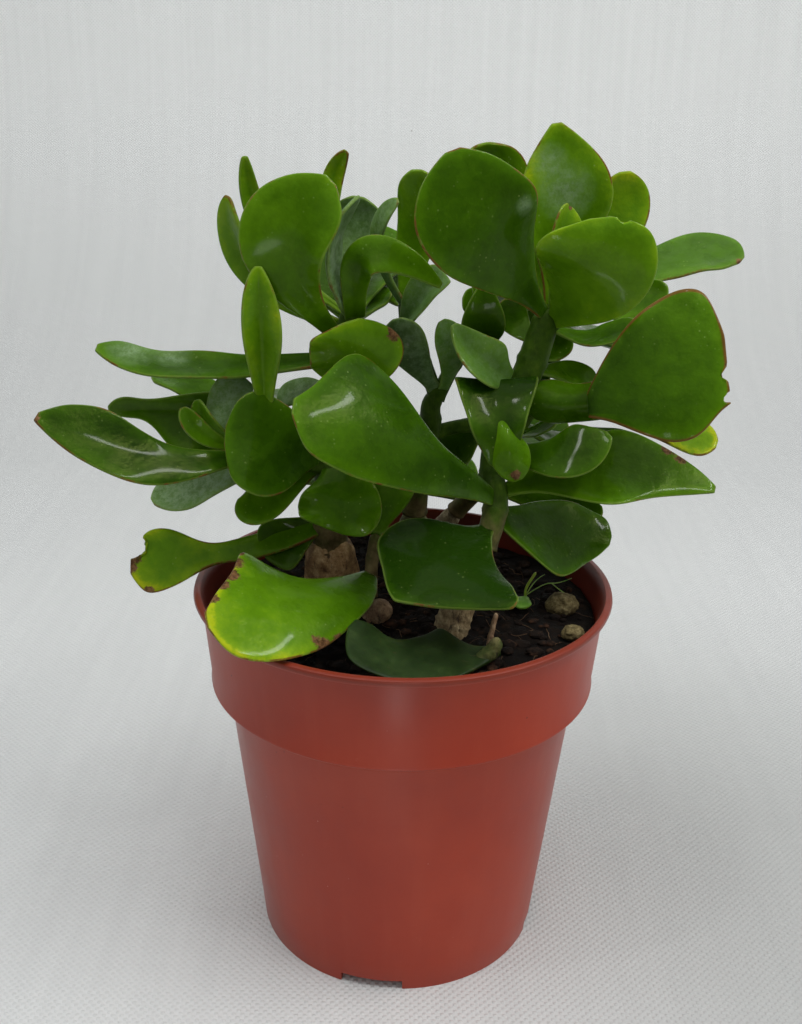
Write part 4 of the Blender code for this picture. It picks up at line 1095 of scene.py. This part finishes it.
def leaf_point(row, u, s):
    """The place in mm of a blade's point: u from -1 at the left margin to 1, s from 0 at the stalk to 1."""
    name, base, middle, tip, face, width, extra = row
    base, middle, tip = Vector(base), Vector(middle), Vector(tip)
    bend = 2 * middle - (base + tip) / 2
    place = (1 - s) ** 2 * base + 2 * s * (1 - s) * bend + s * s * tip
    along = (2 * (1 - s) * (bend - base) + 2 * s * (tip - bend)).normalized()
    rise = Vector(face)
    rise = (rise - rise.dot(along) * along).normalized()
    across = along.cross(rise)
    twist = extra.get("twist", (0, 0))
    angle = math.radians(twist[0] + (twist[1] - twist[0]) * s)
    across, rise = (
        math.cos(angle) * across + math.sin(angle) * rise,
        math.cos(angle) * rise - math.sin(angle) * across,
    )
    half = half_width(row, u, s)
    shape = SHAPING.get(name, {})
    lifts = shape.get("right" if u > 0 else "left", (0,) * len(STATIONS))
    lift = smooth_value(s, (0,) + STATIONS + (1,), (0, *lifts, 0))
    seed = sum(base) + (0.37 if u > 0 else 0)
    ripple = WAVE * min(1, width / 20) * math.sin(2 * math.pi * (WAVES * s + seed * WAVE_SHIFT))
    ripple *= math.sin(math.pi * s)
    height = abs(u) ** 1.6 * extra.get("cup", CUP) * half + abs(u) ** 1.8 * lift + u * u * ripple
    height += abs(u) * half * CREASES.get(name, 0) * min(1, 2.5 * s) * math.sqrt(1 - s * s)
    return place + u * half * across + height * rise


# %% [markdown]
# Some leaves aren't plain: margins that roll up or down, a notch bitten out, brown scars and spots. Colours
# differ too, from the dark leaves to the lime one in front, and part of that is painted light: painted shade
# on leaves deep in the plant, lighter tones on leaves lit from behind, and a painted grey sheen. Both are
# told leaf by leaf.

# %% What makes single leaves different
# Rise of the left and right margins at STATIONS, in mm
SHAPING = {
    "front_glossy": {"left": (-1, -2, -2.5, -2.5, -1.5), "right": (0, -1, -3, -4, -1.5)},
    "front_lime": {"left": (-1, -2.5, -3.5, -3, -1.5), "right": (-1, -2, -3, -2.5, -1)},
    "front_fan": {"left": (0.5, -1.5, -2.5, -1, 1), "right": (0, 1.5, -1, -2.5, -1)},
    "middle_hanging": {"left": (0, -1, -2, -1, 2), "right": (0, 1, -1.5, -2, 1.5)},
    "middle_olive": {"left": (0, -1, -2, -3, -2), "right": (0, -1, -2, -3, -2)},
    "crown_broad": {"left": (0, -1, -1.5, -1.5, -1), "right": (0, 2.5, 3.5, 3, 1.5)},
    "top_dark": {"left": (-0.5, -1.2, -2, -2, -1), "right": (0, -0.5, -1, -1.2, -0.8)},
    "top_round": {"left": (0, -1, -1, -1.5, -1), "right": (0, -1, -1.5, -1.5, -1)},
    "top_pointed": {"left": (0, 1, 2, 1.5, 0.5), "right": (0, -1, -1, 0, 0)},
    "right_broad": {"left": (0, -1, -2, -3, -3), "right": (0, -0.5, -1, -1, -0.5)},
    "right_gutter": {"left": (-1, -2, -2, -1, 0), "right": (-1, -2, -2, -1, 0)},
    "right_hanging": {"left": (2.5, 2, 1, 0, 0), "right": (3, 2, 1, 0, 0)},
    "right_tongue": {"left": (-1, -1.5, -1.5, -1, 0), "right": (-1, -2, -2, -1, 0)},
    "right_long": {"left": (0, 0, -1, 0, 0.5), "right": (0, 0.5, -0.5, -1, -1)},
    "left_round": {"left": (0, 1, 1.5, 1, 0), "right": (0, -1, -1, -1, -0.5)},
    "left_long": {"left": (0, 0, 0.5, 0.5, 0), "right": (0, 0.5, 1, 1, 0.5)},
    "left_far": {"left": (0, -0.5, 0, 0, 0), "right": (0, 0, 0.5, 1, 0.5)},
    "right_low": {"left": (0, -1, -1.5, -1, 0), "right": (0, 1, -1, -2, -1)},
}
# Slope of a leaf's two halves where it is creased along its middle: above 0 they rise, below 0 they fall
CREASES = {
    "left_upright": 0.85, "middle_folded": 0.7, "left_twisted": 0.4, "crown_narrow": 0.3,
    "right_tongue": -0.6, "centre_folded": 0.4, "low_dark": 0.3, "front_glossy": -0.2, "front_lime": -0.08,
    "right_oval": -0.15,
}
# Tone at the stalk and at the tip, from about -1, dark, to about 1, lime
# Part of each tone is painted light: painted shade darkens leaves deep in the plant, and leaves lit from
# behind are painted lighter.
TONES_AND_PAINTED_LIGHT = {
    "right_gutter": (-0.2, 0.0), "crown_broad": (0.0, 0.45), "crown_narrow": (0.45, 0.8),
    "crown_spike": (0.6, 0.7), "crown_point": (0.8, 0.9), "crown_grey": (-0.3, -0.3),
    "crown_twisted": (-0.3, -0.3), "crown_arched": (-0.1, 0.1), "crown_shaded": (-0.7, -0.5),
    "left_upright": (0.5, 0.7), "left_long": (-0.9, -0.1), "left_twisted": (-0.4, -0.2),
    "left_far": (-1.1, -0.6), "left_silver": (0.3, 0.3), "left_rising": (0.3, 0.3),
    "left_round": (-0.8, -0.3), "left_low": (0.0, 0.3), "left_grey": (-0.2, 0.0),
    "middle_olive": (0.5, 0.75), "middle_hanging": (-0.5, -0.1), "low_dark": (-0.7, -0.6),
    "low_torn": (-0.3, 1.3), "front_glossy": (-0.9, 0.0), "front_fan": (-1.5, -1.2),
    "front_lime": (-0.3, 1.4), "right_long": (0.15, 0.1), "right_low": (-0.5, -0.3),
    "right_oval": (-0.8, -0.6), "right_hanging": (-1.1, -0.8), "right_tongue": (0.1, 0.2),
    "right_broad": (-0.7, 0.3), "right_strap": (0.05, 0.3), "top_dark": (-0.6, -0.1),
    "top_behind": (0.3, 0.6), "top_pointed": (0.5, 0.9), "top_right": (0.6, 0.9), "top_inner": (0.4, 0.8),
    "top_round": (0.5, 0.75), "top_under": (-0.5, -0.4), "middle_dark": (-0.6, -0.6),
    "middle_folded": (0.1, 0.1), "centre_upright": (0.2, 0.4), "centre_dark": (-0.7, -0.5),
    "centre_low": (-0.8, -0.7), "centre_grey": (-0.8, -0.8), "back_lime": (0.4, 1.3),
    "back_glossy": (-0.2, -0.2), "back_light": (-0.1, 0.0),
}
# Blush: how red and how wide the line on the rim is. A leaf that isn't named has PLAIN_BLUSH.
PLAIN_BLUSH = 0.12
BLUSH = {
    "right_broad": 1.4, "right_gutter": 0.5, "middle_olive": 0.6, "top_pointed": 0.5, "top_dark": 0.4,
    "top_right": 0.45, "crown_point": 0.3, "crown_broad": 0.35, "left_far": 0.3, "left_round": 0.3,
    "front_glossy": 0.3, "low_torn": 0.5, "front_lime": 0.4, "right_strap": 0.35, "back_lime": 0.5,
    "top_behind": 0.4, "left_long": 0.2,
}
# Wax and painted sheen, from 0 to 1: how grey a leaf is painted, as painted sheen, and how much duller its
# gloss is
WAX_AND_PAINTED_SHEEN = {
    "left_silver": 1.0, "left_rising": 0.9, "left_grey": 0.7, "crown_twisted": 0.7, "crown_grey": 0.4,
    "centre_strip": 0.6, "centre_folded": 0.5, "centre_grey": 0.5, "centre_curved": 0.4, "right_strap": 0.1,
    "middle_folded": 0.3,
}
# Patches of painted sheen: the leaf, the place across and along, and the radius in mm
PAINTED_SHEEN_PATCHES = [
    ("top_pointed", 0.1, 0.62, 9.0), ("top_pointed", -0.3, 0.78, 6.0), ("left_long", 0.5, 0.86, 8.0),
    ("left_long", 0.6, 0.7, 6.0), ("top_dark", 0.7, 0.55, 3.0), ("right_strap", 0.0, 0.3, 7.0),
]
# Scars: the leaf, its place across and along, and its radius in mm
SCARS = [
    ("front_lime", 1.0, 0.62, 1.6), ("front_lime", 1.0, 0.7, 2.2), ("front_lime", 0.95, 0.78, 2.4),
    ("front_lime", 0.95, 0.86, 2.0), ("front_lime", 0.9, 0.94, 1.6), ("front_lime", -0.97, 0.5, 2.6),
    ("front_lime", -0.8, 0.53, 1.5), ("front_lime", -1.0, 0.42, 1.6), ("middle_olive", 0.93, 0.75, 2.4),
    ("right_long", -0.9, 0.78, 2.0), ("right_long", -0.85, 0.84, 1.8), ("right_broad", -0.5, 1.0, 1.0),
    ("low_torn", 0.7, 0.98, 2.2), ("low_torn", 0.0, 1.0, 2.0), ("low_torn", -0.9, 0.9, 1.6),
    ("right_strap", 0.6, 0.99, 1.2), ("left_far", -0.4, 1.0, 1.5), ("top_inner", 0.0, 0.97, 1.0),
    ("right_tongue", 0.1, 0.9, 1.6), ("top_round", -0.3, 0.55, 0.45), ("left_long", 0.3, 0.75, 0.4),
    ("left_long", -0.2, 0.6, 0.4), ("left_long", 0.5, 0.35, 0.5), ("back_lime", -0.8, 0.75, 1.6),
]
# Bites: the leaf, the bite's middle and its radius in mm
BITES = [
    ("right_broad", (83.6, -12.5, 177), 2.3), ("right_broad", (83.4, -15, 171), 1.3),
    ("low_torn", (-76.4, -5, 122.4), 3.8), ("right_long", (73.8, -7.5, 137), 3.4),
    ("top_round", (52.6, -15, 216.2), 1.7),
]
print(len(TONES_AND_PAINTED_LIGHT), "leaves with a tone of their own,", len(SCARS), "scars and", len(BITES), "bites")

# %% [markdown]
# The finish has to know where on the leaf it is. So each leaf keeps six numbers at its corners: the distance
# from the rim, which draws the red line, the painted highlight on the rim and the border lightened as painted
# light, the tone with its painted light and shade, the blush, the side, because the lower face is duller, how
# scarred it is, and how much wax and painted sheen lies on it.

# %% Grow the leaves
LEAF_THICK = 1.9
SMALL_LEAF_THICK = 1.4
SMALL_LEAF_WIDTH = 10
RIM_SHARE = 0.42
BITE_RAGGED = 0.3
SCAR_FADE = 1.6


def write_numbers(mesh, name, numbers):
    layer = mesh.attributes.get(name) or mesh.attributes.new(name, "FLOAT", "POINT")
    layer.data.foreach_set("value", numbers)


def grow_leaf(row):
    name, width = row[0], row[5]
    blank = blanks["broad" if width > BROAD_LEAF_WIDTH else "slim"]
    leaf = blank.copy()
    leaf.data = blank.data.copy()
    leaf.name = name
    scene.collection.objects.link(leaf)
    length = (Vector(row[3]) - Vector(row[1])).length
    flesh = leaf.vertex_groups.new(name="flesh")
    rim, tones_and_painted_light = [], []
    plain = 0.06 * math.sin(7.3 * sum(row[1]) + width)
    tone_and_painted_light = TONES_AND_PAINTED_LIGHT.get(name, (plain, plain))
    for vertex in leaf.data.vertices:
        u, s = vertex.co.x, vertex.co.y
        tones_and_painted_light.append(tone_and_painted_light[0] + (tone_and_painted_light[1] - tone_and_painted_light[0]) * s)
        vertex.co = leaf_point(row, u, s) * MM
        rim.append(min(half_width(row, u, s) * (1 - abs(u)), length * (1 - s)))
        flesh.add([vertex.index], max(0.0, (1 - u**4) * (1 - max(0, s - 0.55) ** 2 * 3)), "REPLACE")
    write_numbers(leaf.data, "rim", rim)
    write_numbers(leaf.data, "tone_and_painted_light", tones_and_painted_light)
    write_numbers(leaf.data, "blush", [BLUSH.get(name, PLAIN_BLUSH)] * len(rim))
    write_numbers(leaf.data, "side", [1.0] * len(rim))
    thicken = leaf.modifiers.new("flesh", "SOLIDIFY")
    thicken.thickness = (LEAF_THICK if width > SMALL_LEAF_WIDTH else SMALL_LEAF_THICK) * MM
    thicken.offset = 0
    thicken.vertex_group = "flesh"
    thicken.thickness_vertex_group = RIM_SHARE
    apply_modifiers(leaf)
    upper = len(rim)
    write_numbers(leaf.data, "side", [1.0 if k < upper else 0.0 for k in range(len(leaf.data.vertices))])
    round_off = leaf.modifiers.new("round", "SUBSURF")
    round_off.levels = round_off.render_levels = 2
    apply_modifiers(leaf)
    bite(leaf, row)
    mark(leaf, row)
    return leaf


def bite(leaf, row):
    """Pushes the corners in and behind a bite back to its edge, so that the rim runs round it."""
    for name, place, radius in BITES:
        if name != row[0]:
            continue
        centre = Vector(place)
        inward = (leaf_point(row, 0, 0.6) - centre).normalized()
        for vertex in leaf.data.vertices:
            away = vertex.co / MM - centre
            depth = away.dot(inward)
            beside = away - depth * inward
            reach = radius * (1 + BITE_RAGGED * noise.noise(vertex.co / MM * 0.9))
            if beside.length < reach and depth * abs(depth) < reach**2 - beside.length_squared:
                vertex.co = (centre + beside + inward * math.sqrt(reach**2 - beside.length_squared)) * MM


def mark(leaf, row):
    """Writes the scars and the painted sheen of a finished leaf."""
    wax_and_painted_sheen = WAX_AND_PAINTED_SHEEN.get(row[0], 0.0)
    for attribute, table, fade, plain in (("scar", SCARS, SCAR_FADE, 0.0), ("wax_and_painted_sheen", PAINTED_SHEEN_PATCHES, 1.0, wax_and_painted_sheen)):
        patches = [(leaf_point(row, u, s), fade * radius) for name, u, s, radius in table if name == row[0]]
        levels = [
            max([plain] + [1 - (vertex.co / MM - centre).length / radius for centre, radius in patches])
            for vertex in leaf.data.vertices
        ]
        write_numbers(leaf.data, attribute, levels)


leaf_pieces = {}
for shoot, rows in LEAVES.items():
    grown = [grow_leaf(row) for row in rows]
    leaf_pieces[shoot] = join_as(shoot.replace("shoot", "leaves"), grown)
    bpy.ops.object.shade_smooth()
    stand_for(leaf_pieces[shoot], "leaf", shoot)

# %% [markdown]
# ## Leaf finish
#
# The skin of a jade leaf is glossy and a little waxy over soft flesh that light enters. The colour runs
# from dark green in the middle to yellow-green at the border, which is painted light shining through the thin
# margin, with a pale painted highlight and a thin broken red-brown line on the rim itself, tiny pale dots all
# over, brown scars, and a grey painted sheen on some. Subsurface scattering makes the flesh glow.

# %% Leaf finish
skin = Finish("jade_leaf")
rim = skin.attribute("rim")
tone_and_painted_light = skin.attribute("tone_and_painted_light")
side = skin.attribute("side")
patches = skin.noise(70, detail=3)
veins = skin.noise(230, detail=6, rough=0.75, warp=0.6)
mottle = skin.noise(800, detail=4, rough=0.7)
# Painted light: the border is lighter, as light shining through the thin margin.
border_painted_glow = skin.steps(rim, 0.2, 4.5, 1.0, 0.0)
level = skin.maths("MULTIPLY_ADD", tone_and_painted_light, 0.36, 0.42)
level = skin.maths("ADD", level, skin.maths("MULTIPLY_ADD", patches, 0.56, -0.28))
level = skin.maths("ADD", level, skin.maths("MULTIPLY_ADD", veins, 0.26, -0.13))
level = skin.maths("ADD", level, skin.maths("MULTIPLY_ADD", mottle, 0.16, -0.08))
level = skin.maths("ADD", level, skin.maths("MULTIPLY", border_painted_glow, 0.16))
tint = skin.ramp(
    level,
    (0.05, (0.009, 0.03, 0.001)),
    (0.33, (0.028, 0.078, 0.0012)),
    (0.55, (0.052, 0.134, 0.0015)),
    (0.75, (0.088, 0.2, 0.004)),
    (0.9, (0.155, 0.28, 0.005)),
    (1.0, (0.33, 0.39, 0.006)),
)
under = skin.maths("MULTIPLY_ADD", side, -0.35, 0.35)
tint = skin.blend(under, tint, (0.08, 0.15, 0.05, 1))
wax_and_painted_sheen = skin.attribute("wax_and_painted_sheen")
# Painted sheen: waxed places are painted grey, standing in for the sky's reflection at a grazing angle.
cloudy = skin.steps(skin.noise(420, detail=6, rough=0.8), 0.4, 0.62, 0.4, 1.0)
painted_sheen = skin.maths("MULTIPLY", skin.maths("MULTIPLY", wax_and_painted_sheen, cloudy), 0.85)
tint = skin.blend(painted_sheen, tint, (0.22, 0.32, 0.17, 1))
dots = skin.steps(skin.cells(560), 0.08, 0.18, 1.0, 0.0)
dots = skin.maths("MULTIPLY", dots, skin.steps(skin.noise(120, detail=1), 0.45, 0.7, 0.0, 0.3))
tint = skin.blend(dots, tint, (0.3, 0.4, 0.12, 1))
# Painted highlight: a pale line where the rim catches the light.
rim_painted_highlight = skin.maths("MULTIPLY", skin.steps(rim, 0.0, 0.5, 1.0, 0.0), 0.4)
tint = skin.blend(rim_painted_highlight, tint, (0.17, 0.24, 0.04, 1))
blush = skin.attribute("blush")
broken = skin.maths("MULTIPLY_ADD", skin.noise(120, detail=5, rough=0.75), 2.2, -0.95)
broken = skin.steps(skin.maths("ADD", broken, skin.maths("MULTIPLY", blush, 0.6)), 0.3, 0.6, 0.0, 0.85)
reach = skin.maths("DIVIDE", rim, skin.maths("MULTIPLY_ADD", blush, 0.6, 0.22))
line = skin.maths("MULTIPLY", skin.steps(reach, 0.25, 1.0, 1.0, 0.0), broken)
tint = skin.blend(line, tint, (0.14, 0.042, 0.013, 1))
ragged = skin.maths("MULTIPLY_ADD", skin.noise(900, detail=5, rough=0.8), 1.2, -0.6)
scar = skin.steps(skin.maths("ADD", skin.attribute("scar"), ragged), 0.3, 0.5)
tint = skin.blend(scar, tint, skin.ramp(mottle, (0.4, (0.05, 0.02, 0.01)), (0.62, (0.2, 0.1, 0.045))))
gloss = skin.maths("ADD", skin.steps(patches, 0.3, 0.7, 0.22, 0.34), skin.maths("MULTIPLY", scar, 0.3))
gloss = skin.maths("ADD", gloss, skin.maths("MULTIPLY_ADD", side, -0.12, 0.12))
gloss = skin.maths("ADD", gloss, skin.maths("MULTIPLY", wax_and_painted_sheen, 0.2))
relief = skin.height(skin.noise(48, detail=2), 1.6 * MM)
relief = skin.height(skin.noise(150, detail=3), 0.45 * MM, below=relief)
relief = skin.height(mottle, 0.07 * MM, below=relief)
leaf_skin = skin.finish(
    tint, gloss, relief, Specular_IOR_Level=0.13, Specular_Tint=(0.8, 1.0, 0.2, 1), Coat_Weight=0.12,
    Coat_Roughness=0.08, Subsurface_Weight=0.15,
)
skin.shader.inputs["Subsurface Radius"].default_value = (1.0, 1.5, 0.2)
skin.shader.inputs["Subsurface Scale"].default_value = 1.6 * MM
dress(leaf_skin, *leaf_pieces.values())
print("Leaf finish has", len(skin.tree.nodes), "nodes")

# %% [markdown]
# ## Small things on the soil
#
# A fallen leaf has lost its gloss and lies against the rim with its dry stub, a dead twig stands beside it,
# two stones lie on the right, and a weed seedling has come up. The leaf and the twig use the helpers above.
# A stone starts as an icosphere and gets flats and dents.

# %% Fallen leaf, twig, seedling and stones
fallen = grow_leaf(FALLEN_LEAF)
only(fallen)
bpy.ops.object.shade_smooth()
fallen.name = "fallen_leaf"
stand_for(fallen, "dull_leaf", "leaf_fallen")

dull = Finish("dull_leaf")
patches = dull.noise(150, detail=5, rough=0.7)
tint = dull.ramp(
    patches, (0.3, (0.007, 0.018, 0.002)), (0.55, (0.014, 0.032, 0.003)), (0.8, (0.033, 0.06, 0.01))
)
scratch = dull.steps(dull.noise(500, detail=4, stretch=(0.15, 1, 1)), 0.64, 0.7, 0.0, 0.5)
tint = dull.blend(scratch, tint, (0.09, 0.06, 0.03, 1))
gloss = dull.steps(patches, 0.3, 0.7, 0.42, 0.6)
relief = dull.height(patches, 0.2 * MM)
dress(dull.finish(tint, gloss, relief, Specular_IOR_Level=0.25, Subsurface_Weight=0.1), fallen)

leaf_stub = tube("fallen_leaf_stub", LEAF_STUB, step=0.4, sides=6)
roughen(leaf_stub, 0.2, 1.5, 1.0)
stand_for(leaf_stub, "dull_leaf", "leaf_fallen")
STUB_COLOURS = (0.03, 0.045, 0.008), (0.06, 0.085, 0.015), (0.12, 0.14, 0.03), (0.42, 0.34, 0.15)
STUB_DRY_FROM = 107
dress(bark_finish("stub_skin", *STUB_COLOURS, STUB_DRY_FROM), leaf_stub)

twig = tube("dry_twig", TWIG, step=0.5, sides=4, ring_gap=4, ring_swell=0.25)
roughen(twig, 0.25, 1.5, 0.5)
stand_for(twig, "twig", "twig_dry")
TWIG_COLOURS = (0.1, 0.05, 0.025), (0.28, 0.17, 0.09), (0.5, 0.36, 0.22), (0.28, 0.17, 0.09)
TWIG_PALE_FROM = 125
dress(bark_finish("dry_twig_bark", *TWIG_COLOURS, TWIG_PALE_FROM), twig)

sprout = tube("sprout", SEEDLING_STEM, step=0.5, sides=4)
hairs = thin_threads("hairs", SEEDLING_HAIRS, 0.16)
seedling = join_as("weed_seedling", [sprout, hairs, grow_leaf(SEEDLING_LEAF)])
bpy.ops.object.shade_smooth()
stand_for(seedling, "leaf", "seedling")
fresh = Finish("fresh_green")
patches = fresh.noise(500, detail=4)
tint = fresh.ramp(patches, (0.3, (0.12, 0.3, 0.02)), (0.7, (0.25, 0.48, 0.05)))
dress(fresh.finish(tint, 0.5, fresh.height(patches, 0.1 * MM), Subsurface_Weight=0.2), seedling)

stone_finish = Finish("olive_stone")
grain = stone_finish.noise(420, detail=6, rough=0.75)
tint = stone_finish.ramp(
    grain, (0.35, (0.045, 0.033, 0.012)), (0.52, (0.15, 0.115, 0.045)), (0.7, (0.34, 0.28, 0.13))
)
stone_skin = stone_finish.finish(tint, 0.85, stone_finish.height(grain, 0.8 * MM), Specular_IOR_Level=0.3)
for name, (centre, size, seed) in STONES.items():
    bpy.ops.mesh.primitive_ico_sphere_add(subdivisions=5, radius=1)
    stone = bpy.context.active_object
    stone.name = name.replace("stone", "pebble")
    for vertex in stone.data.vertices:
        co = vertex.co.copy()
        lump = 1 + 0.16 * noise.noise(co * 1.3 + Vector((seed, 0, 0)))
        lump += 0.09 * noise.noise(co * 3.5 + Vector((seed, 4, 0))) + 0.04 * noise.noise(co * 9)
        vertex.co = (Vector(centre) + Vector([c * lump * s for c, s in zip(co, size)])) * MM
    bpy.ops.object.shade_smooth()
    dress(stone_skin, stone)
    stand_for(stone, "pebble", name)

# %% [markdown]
# ## The end
#
# The blanks were only patterns, so they go.

# %% Print the box and finish
for blank in blanks.values():
    bpy.data.objects.remove(blank)
low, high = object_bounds()
print("Visual box in mm:", [round(c * 1000, 1) for c in (*low, *high)])
